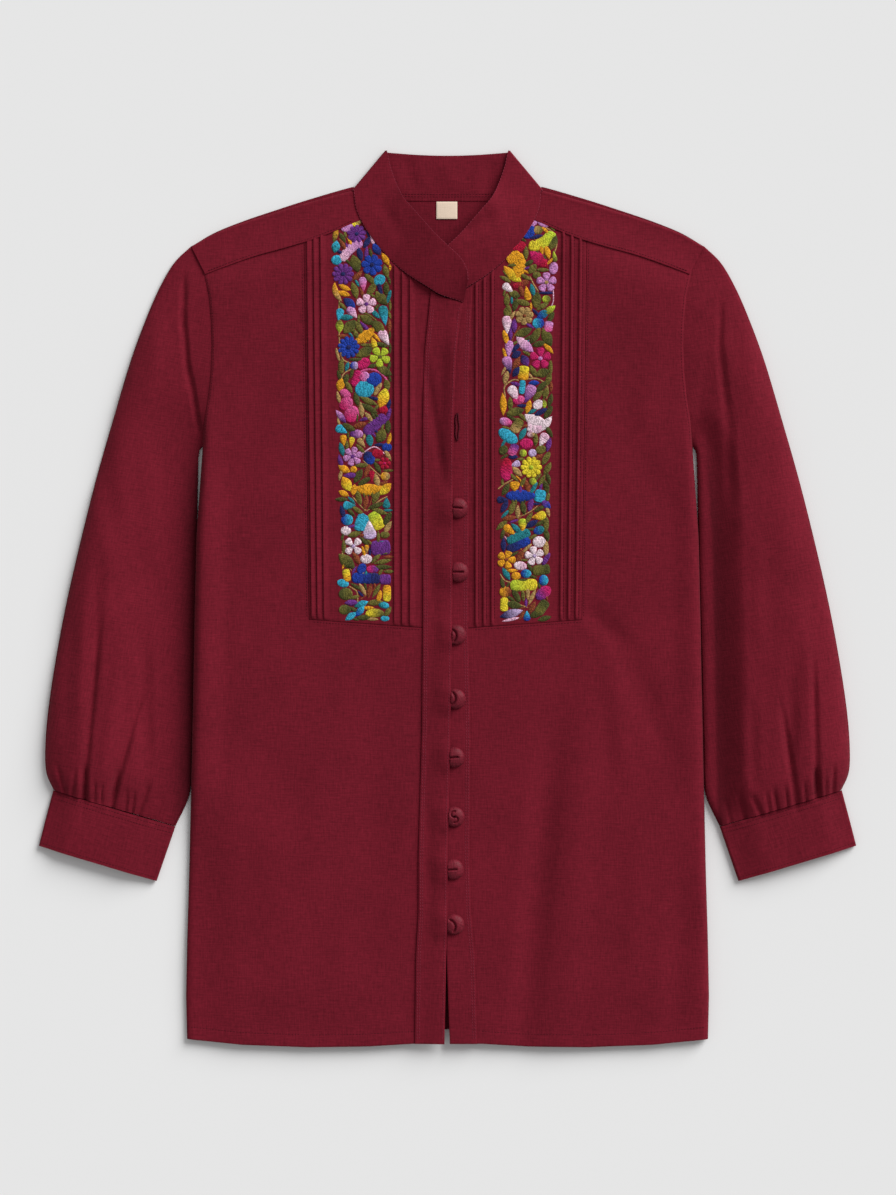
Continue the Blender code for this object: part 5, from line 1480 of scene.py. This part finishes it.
RIGHT_FILLS = (
    (O, 74.0, 331.0, 10.0, 7.0, 25, 0, Y.LILAC), (O, 84.4, 330.4, 10.0, 6.0, -20, 0, Y.LILAC),
    (O, 71.4, 322.8, 12.0, 10.0, 50, 0, Y.ROYAL), (B, 82.0, 316.8, 24.0, 9.0, 30, 75, Y.YELLOW, Y.LIME),
    (O, 79.6, 324.4, 7.4, 7.0, 0, 0, Y.BEIGE, Y.OLIVE), (L, 93.0, 313.4, 13.0, 7.0, 70, 0, Y.OLIVE, Y.MOSS),
    (D, 94.0, 301.0, 9.0, 5.0, -80, 0, Y.LIME, Y.OLIVE), (O, 62.8, 309.6, 11.0, 9.0, 20, 0, Y.CRIMSON),
    (L, 80.0, 298.0, 19.0, 11.0, -42, -10, Y.MAGENTA, Y.CRIMSON), (B, 57.6, 301.0, 12.0, 8.0, 40, 20, Y.GOLD),
    (L, 62.4, 292.0, 22.0, 11.0, 78, 15, Y.GOLD), (L, 57.4, 285.6, 19.0, 8.0, -42, 25, Y.GOLD, Y.YELLOW),
    (B, 64.4, 276.6, 13.0, 4.6, 20, 0, Y.CRIMSON, Y.RUST), (D, 70.0, 268.6, 11.6, 7.4, -80, 0, Y.GOLD),
    (O, 93.2, 290.6, 9.6, 7.2, 80, 0, Y.LILAC), (L, 74.6, 290.0, 10.0, 6.0, 50, 0, Y.OLIVE),
    (O, 78.4, 284.4, 6.6, 6.0, 0, 0, Y.OLIVE), (D, 53.4, 272.8, 10.4, 8.0, 140, 0, Y.WHITE),
    (L, 58.8, 267.4, 10.0, 6.4, -20, 0, Y.OLIVE, Y.MOSS), (L, 78.2, 262.6, 13.4, 8.0, 84, 0, Y.OLIVE, Y.MOSS),
    (O, 87.0, 263.4, 6.8, 6.0, 0, 0, Y.LIME, Y.OLIVE), (L, 52.8, 252.4, 10.4, 6.6, 75, 0, Y.OLIVE),
    (L, 84.0, 250.0, 12.0, 6.6, 32, 0, Y.ROYAL, Y.TEAL), (L, 89.6, 253.6, 12.0, 5.6, 38, 0, Y.OLIVE, Y.LIME),
    (O, 79.8, 242.2, 9.4, 9.0, 0, 0, Y.TURQUOISE, Y.ROYAL),
    (B, 88.8, 239.2, 8.6, 7.0, 80, 0, Y.PINK, Y.LILAC),
    (D, 52.2, 240.6, 14.6, 9.6, 92, 0, Y.WHITE, Y.PALE), (L, 66.6, 234.4, 15.0, 7.0, 22, 10, Y.OLIVE, Y.MOSS),
    (L, 77.0, 231.4, 16.0, 6.4, 60, 10, Y.MOSS, Y.OLIVE),
    (L, 87.6, 230.0, 16.0, 8.4, -64, 10, Y.OLIVE, Y.MOSS),
    (D, 54.0, 219.4, 13.4, 9.0, 85, 0, Y.LILAC), (L, 68.0, 223.6, 18.0, 8.4, -42, 10, Y.PALE, Y.LILAC),
    (L, 60.4, 214.6, 9.0, 6.0, 30, 0, Y.NAVY), (L, 68.0, 209.4, 10.0, 7.0, -60, 0, Y.NAVY, Y.PURPLE),
    (D, 53.2, 205.4, 14.0, 10.0, 105, 0, Y.NAVY, Y.LILAC), (L, 60.4, 199.4, 10.0, 5.4, 55, 0, Y.NAVY),
    (B, 66.8, 198.4, 11.4, 8.6, 85, 0, Y.GOLD, Y.YELLOW), (L, 83.6, 198.4, 12.0, 7.4, 20, 0, Y.OLIVE, Y.MOSS),
    (B, 65.6, 186.0, 11.0, 5.0, 84, 0, Y.TURQUOISE), (D, 58.6, 180.0, 14.0, 10.0, 118, 0, Y.PALE, Y.WHITE),
    (D, 71.6, 180.0, 15.4, 11.4, 64, 0, Y.PURPLE, Y.LILAC),
    (O, 62.6, 174.6, 10.0, 7.0, 15, 0, Y.MAGENTA, Y.PINK),
    (L, 76.0, 189.6, 9.0, 4.4, 0, 0, Y.ROYAL), (L, 48.6, 171.0, 18.0, 5.6, 92, 10, Y.GOLD),
    (L, 59.6, 164.6, 15.0, 7.0, 12, 10, Y.OLIVE, Y.MOSS), (L, 86.4, 180.8, 10.0, 5.4, 75, 0, Y.OLIVE),
    (L, 84.8, 171.6, 8.0, 4.4, 100, 0, Y.LIME, Y.OLIVE), (O, 79.6, 170.6, 9.0, 7.4, 35, 0, Y.WHITE),
    (L, 78.0, 158.4, 20.0, 10.0, -20, 50, Y.WHITE), (D, 72.4, 152.6, 13.0, 6.0, -80, 0, Y.WHITE, Y.PALE),
    (L, 86.6, 153.6, 15.0, 6.4, 52, 0, Y.WHITE), (O, 77.0, 149.4, 13.0, 8.0, 5, 0, Y.WHITE, Y.PALE),
    (O, 73.4, 144.4, 6.4, 4.6, 0, 0, Y.PALE, Y.BEIGE), (O, 51.0, 155.6, 10.0, 6.4, -15, 0, Y.LILAC, Y.PINK),
    (B, 61.0, 152.0, 12.0, 8.0, 60, 0, Y.BEIGE, Y.OLIVE), (O, 53.2, 142.8, 17.5, 9.6, -34, 0, Y.TURQUOISE),
    (O, 69.4, 136.2, 10.4, 8.6, 0, 0, Y.MAGENTA), (D, 84.0, 139.6, 11.6, 9.6, 62, 0, Y.WHITE, Y.PALE),
    (O, 82.0, 131.0, 8.4, 7.0, 20, 0, Y.OLIVE), (O, 66.2, 127.8, 6.0, 6.4, 0, 0, Y.OLIVE, Y.LIME),
    (O, 74.8, 128.0, 6.6, 6.4, 0, 0, Y.LAVENDER), (B, 57.8, 130.8, 10.0, 7.0, 65, 0, Y.PINK, Y.PURPLE),
    (O, 49.0, 130.6, 8.0, 7.0, 60, 0, Y.MOSS), (O, 51.6, 113.4, 18.0, 10.6, 88, 0, Y.MAGENTA, Y.CRIMSON),
    (D, 59.6, 118.0, 8.0, 7.0, 20, 0, Y.LAVENDER), (L, 57.6, 124.6, 8.0, 4.0, 0, 0, Y.NAVY),
    (O, 74.8, 103.0, 6.2, 6.0, 0, 0, Y.OLIVE, Y.LIME), (D, 59.0, 98.4, 8.4, 10.6, 90, 0, Y.GOLD),
    (L, 83.0, 104.0, 11.0, 4.0, 60, 0, Y.OLIVE), (L, 66.4, 102.6, 9.0, 3.6, 60, 0, Y.OLIVE),
    (O, 64.2, 90.4, 23.5, 9.4, 0, 0, Y.ROYAL), (B, 81.4, 90.2, 10.0, 9.0, 80, 0, Y.TURQUOISE),
    (D, 48.4, 86.8, 9.0, 7.4, 180, 0, Y.NAVY), (L, 86.4, 83.0, 10.0, 6.0, -40, 0, Y.PURPLE, Y.ROYAL),
    (L, 56.6, 79.4, 12.0, 5.4, 70, 0, Y.OLIVE), (L, 66.6, 79.6, 12.0, 5.0, 100, 0, Y.MOSS),
    (D, 80.4, 72.4, 11.4, 9.6, 10, 0, Y.GOLD, Y.YELLOW), (L, 54.0, 70.6, 12.0, 4.6, 10, 0, Y.RUST),
    (L, 47.8, 64.6, 12.0, 4.6, 40, 0, Y.OLIVE), (D, 54.6, 60.0, 11.4, 8.0, 140, 0, Y.GOLD),
    (D, 66.0, 64.2, 11.0, 9.0, 90, 0, Y.GOLD, Y.LIME), (B, 62.4, 54.4, 20.0, 7.6, 24, 0, Y.TEAL),
    (B, 62.4, 47.2, 20.0, 7.4, 24, 0, Y.NAVY, Y.ROYAL), (O, 80.4, 60.0, 9.0, 7.0, 20, 0, Y.ROYAL, Y.TEAL),
    (O, 80.6, 49.8, 10.4, 9.0, 0, 0, Y.WHITE), (O, 64.0, 28.8, 10.4, 7.0, -8, 0, Y.WHITE, Y.PALE),
    (B, 82.4, 25.2, 14.0, 8.4, 8, 0, Y.OLIVE, Y.MOSS), (O, 69.0, 21.8, 8.4, 7.0, 0, 0, Y.ROYAL, Y.TURQUOISE),
    (O, 60.2, 19.8, 7.4, 6.4, 0, 0, Y.GOLD), (B, 67.0, 11.8, 21.5, 9.4, 3, 0, Y.LIME, Y.YELLOW),
    (O, 84.4, 16.0, 7.6, 8.6, 0, 0, Y.ROYAL, Y.TURQUOISE),
    (O, 84.2, 4.8, 14.0, 9.6, 38, 0, Y.PURPLE, Y.MAGENTA),
    (O, 50.8, 5.8, 9.4, 9.0, 0, 0, Y.GOLD, Y.RUST), (B, 49.8, -5.2, 11.0, 6.4, 88, 0, Y.YELLOW),
    (L, 58.4, -5.6, 13.0, 6.6, -12, 0, Y.MOSS), (B, 83.0, -8.0, 13.0, 8.0, 55, 0, Y.OLIVE, Y.MOSS),
    (L, 78.0, -13.6, 12.0, 6.0, 20, 0, Y.MOSS), (L, 56.0, -13.4, 19.0, 7.0, 16, 0, Y.NAVY, Y.LAVENDER),
    (L, 56.0, -18.4, 15.0, 2.6, 12, 0, Y.PALE), (D, 69.8, -15.2, 8.0, 7.4, -90, 0, Y.TURQUOISE, Y.ROYAL),
    (L, 66.4, 2.6, 10.0, 3.4, 95, 0, Y.OLIVE), (L, 74.2, 1.0, 14.0, 3.6, 65, 0, Y.BEIGE),
)
RIGHT_VINES = (
    (Y.BEIGE, 1.2, ((86.0, 327.0), (93.0, 322.0), (96.0, 312.0), (94.0, 304.0))),
    (Y.BEIGE, 1.3, ((72.0, 284.0), (76.0, 276.0), (80.0, 270.0))),
    (Y.PALE, 1.0, ((93.0, 272.0), (93.0, 262.0), (91.0, 256.0))),
    (Y.RUST, 1.3, ((64.0, 240.0), (59.0, 232.0), (56.0, 225.0))),
    (Y.BEIGE, 1.3, ((51.0, 176.0), (50.0, 186.0), (57.0, 192.0), (63.0, 192.0))),
    (Y.BEIGE, 1.3, ((70.0, 193.0), (80.0, 193.0), (88.0, 186.0), (87.0, 175.0))),
    (Y.GOLD, 1.4, ((60.0, 108.0), (64.0, 104.0), (66.0, 98.0))),
    (Y.BEIGE, 1.2, ((44.0, 96.0), (50.0, 100.6), (58.0, 105.0))),
    (Y.BEIGE, 1.1, ((50.0, 72.0), (62.0, 72.0), (72.0, 76.0), (80.0, 82.0))),
    (Y.RUST, 1.1, ((60.0, 66.0), (65.0, 73.0), (70.0, 80.0))),
    (Y.PALE, 1.1, ((50.0, 55.0), (54.0, 49.0), (57.0, 42.0))),
    (Y.BEIGE, 1.1, ((46.0, 22.0), (50.0, 16.0), (56.0, 14.0))),
    (Y.RUST, 1.2, ((62.0, -9.0), (71.0, -6.0), (80.0, 8.0))),
    (Y.BEIGE, 1.1, ((52.0, -2.0), (62.0, -5.0), (71.0, -8.0))),
)


LEFT_LIMITS = ((-95.0, -20.0), (-50.0, -20.0), (-49.5, 296.0), (-77.0, 334.0), (-92.0, 331.0),
               (-102.0, 326.0),
               (-97.0, 150.0))
RIGHT_LIMITS = ((46.0, -20.0), (90.0, -20.0), (92.0, 150.0), (96.5, 326.0), (78.0, 335.0), (64.0, 321.0),
                (49.0, 290.0))


@dataclass
class Studio:
    """Pale floor, soft key light from the upper right, weak fill and the camera."""

    floor: tuple = srgb(232, 232, 232)
    key_strength: float = 3.75
    key_angle: float = 40.0
    elevation: float = 29.0
    azimuth: float = 47.0
    fill: float = 0.40
    camera_height: float = 3.0
    lens: float = 102.4

    def build(self) -> None:
        """Adds floor, lights and camera."""
        mesh = bpy.data.meshes.new("floor")
        half = 40.0
        corners = [(-half, -half, 0), (half, -half, 0), (half, half, 0), (-half, half, 0)]
        mesh.from_pydata(corners, [], [(0, 1, 2, 3)])
        floor = bpy.data.objects.new("floor", mesh)
        bpy.context.scene.collection.objects.link(floor)
        floor.location.z = -0.0004
        material = bpy.data.materials.new("pale_floor")
        material.use_nodes = True
        shader = material.node_tree.nodes["Principled BSDF"]
        shader.inputs["Base Color"].default_value = self.floor
        shader.inputs["Roughness"].default_value = 0.95
        shader.inputs["Specular IOR Level"].default_value = 0.0
        mesh.materials.append(material)
        key = bpy.data.lights.new("key", "SUN")
        key.energy, key.angle = self.key_strength, math.radians(self.key_angle)
        lamp = bpy.data.objects.new("key", key)
        bpy.context.scene.collection.objects.link(lamp)
        lamp.rotation_euler = (math.pi / 2 - math.radians(self.elevation), 0.0,
                               math.radians(self.azimuth) + math.pi / 2)
        world = bpy.data.worlds.new("studio")
        world.use_nodes = True
        world.node_tree.nodes["Background"].inputs["Color"].default_value = (1.0, 1.0, 1.0, 1.0)
        world.node_tree.nodes["Background"].inputs["Strength"].default_value = self.fill
        scene = bpy.context.scene
        scene.world = world
        scene.view_settings.view_transform = "Standard"
        lens = bpy.data.cameras.new("camera")
        lens.lens, lens.sensor_fit, lens.sensor_height = self.lens, "VERTICAL", 36.0
        camera = bpy.data.objects.new("camera", lens)
        camera.location = (0.0004, 0.0009, self.camera_height)
        scene.collection.objects.link(camera)
        scene.camera = camera


LEFT_CREASES = (
    (-310.0, 160.0, -290.0, 40.0, 16.0, -1.6), (-306.0, 40.0, -315.0, -120.0, 11.0, -2.4),
    (-262.0, 150.0, -262.0, 20.0, 15.0, 0.9), (-330.0, 0.0, -336.0, -130.0, 12.0, -1.5),
    (-268.0, -30.0, -266.0, -160.0, 11.0, -2.2), (-286.0, -60.0, -300.0, -150.0, 10.0, 1.0),
    (-232.0, 285.0, -233.0, 236.0, 4.5, -2.6), (-233.0, 250.0, -228.0, 186.0, 4.5, -2.8),
    (-228.0, 204.0, -217.0, 133.0, 4.5, -2.4), (-255.0, 255.0, -262.0, 180.0, 12.0, 0.9),
)
RIGHT_CREASES = (
    (241.0, 262.0, 239.0, 215.0, 5.0, -1.8), (239.0, 225.0, 246.0, 160.0, 6.0, -2.2),
    (246.0, 170.0, 250.0, 80.0, 8.0, -2.0), (290.0, 170.0, 300.0, 30.0, 16.0, 1.0),
    (270.0, 60.0, 275.0, -60.0, 12.0, 1.0), (266.0, -90.0, 268.0, -170.0, 9.0, -1.6),
    (302.0, -80.0, 301.0, -150.0, 9.0, -1.8), (318.0, 20.0, 330.0, -90.0, 14.0, -1.0),
    (262.0, 250.0, 272.0, 160.0, 12.0, 0.9),
)
LEFT_GATHERS = (
    (-336.6, -171.2, -343.6, -144.8, 3.4, -1.9), (-330.4, -172.9, -326.0, -148.3, 3.2, -1.8),
    (-319.0, -176.4, -319.9, -145.0, 4.6, -3.0), (-320.0, -172.0, -306.0, -20.0, 5.0, -3.0),
    (-314.0, -150.0, -297.0, -20.0, 14.0, -1.5), (-292.0, -165.0, -280.0, -60.0, 14.0, -1.5),
    (-310.6, -178.0, -309.8, -160.0, 2.6, -1.4), (-304.9, -179.0, -303.6, -160.0, 2.6, -1.4),
    (-296.1, -183.5, -290.8, -150.0, 5.0, -3.0), (-293.0, -168.0, -268.0, -76.0, 5.5, -3.0),
    (-284.0, -187.0, -282.0, -168.0, 3.0, -1.6), (-278.5, -189.6, -276.0, -170.0, 3.0, -1.8),
    (-273.2, -190.6, -262.7, -162.0, 4.2, -2.6), (-258.0, -196.0, -250.0, -172.0, 4.0, -2.0),
    (-246.0, -199.0, -240.0, -176.0, 3.6, -1.6),
)
RIGHT_GATHERS = (
    (275.9, -190.5, 267.1, -172.0, 4.2, -2.6), (262.0, -195.0, 256.0, -170.0, 4.0, -2.0),
    (250.0, -198.0, 244.0, -176.0, 3.6, -1.6), (290.0, -186.0, 286.0, -166.0, 3.4, -2.0),
    (283.0, -188.0, 280.0, -170.0, 2.8, -1.4), (307.1, -180.4, 292.0, -90.0, 4.8, -3.2),
    (299.0, -183.0, 296.0, -164.0, 2.6, -1.4), (315.0, -178.0, 313.0, -160.0, 2.6, -1.5),
    (326.0, -174.7, 322.5, -148.0, 5.0, -3.6), (324.0, -162.0, 321.0, -50.0, 5.0, -2.8),
    (300.0, -150.0, 306.0, -30.0, 15.0, -1.4),
    (339.2, -170.3, 339.2, -146.0, 3.4, -2.4), (333.0, -172.0, 332.0, -156.0, 2.4, -1.4),
)


@dataclass
class Blouse:
    """The whole garment."""

    finishes: Finishes

    def build(self) -> None:
        """Builds every piece."""
        f = self.finishes
        Back(f).build()
        Yoke(f).build()
        collar = Collar(f)
        collar.build()
        for side in (-1, 1):
            FrontPanel(side, f).build()
            Inset(side, f).build()
        plackets = Plackets(f)
        plackets.build()
        # Each sleeve carries painted shade: the left one beside the body's edge, the right one in the trough
        # just out from it.
        left = Sleeve(-1, f, creases=LEFT_CREASES, gathers=LEFT_GATHERS)
        right = Sleeve(1, f, low=5.6, start=14.0, stop=40.0, outer_slope=42.0, puff=1.18,
                       creases=RIGHT_CREASES, gathers=RIGHT_GATHERS, painted_shade_band=(12.0, 16.0, 9.5, 0.42))
        left.build()
        right.build()
        Buttons(f, plackets).build()
        Label(f).build()
        Stitching(f, plackets, collar, [left, right]).build()
        ThreadLoop(f, plackets).build()
        Band("embroidery_left", f, LEFT_FLOWERS, LEFT_FILLS, LEFT_VINES, LEFT_LIMITS).build()
        Band("embroidery_right", f, RIGHT_FLOWERS, RIGHT_FILLS, RIGHT_VINES, RIGHT_LIMITS).build()


def main() -> None:
    """Builds the blouse and its studio."""
    Studio().build()
    Blouse(Finishes()).build()


if __name__ == "__main__":
    main()
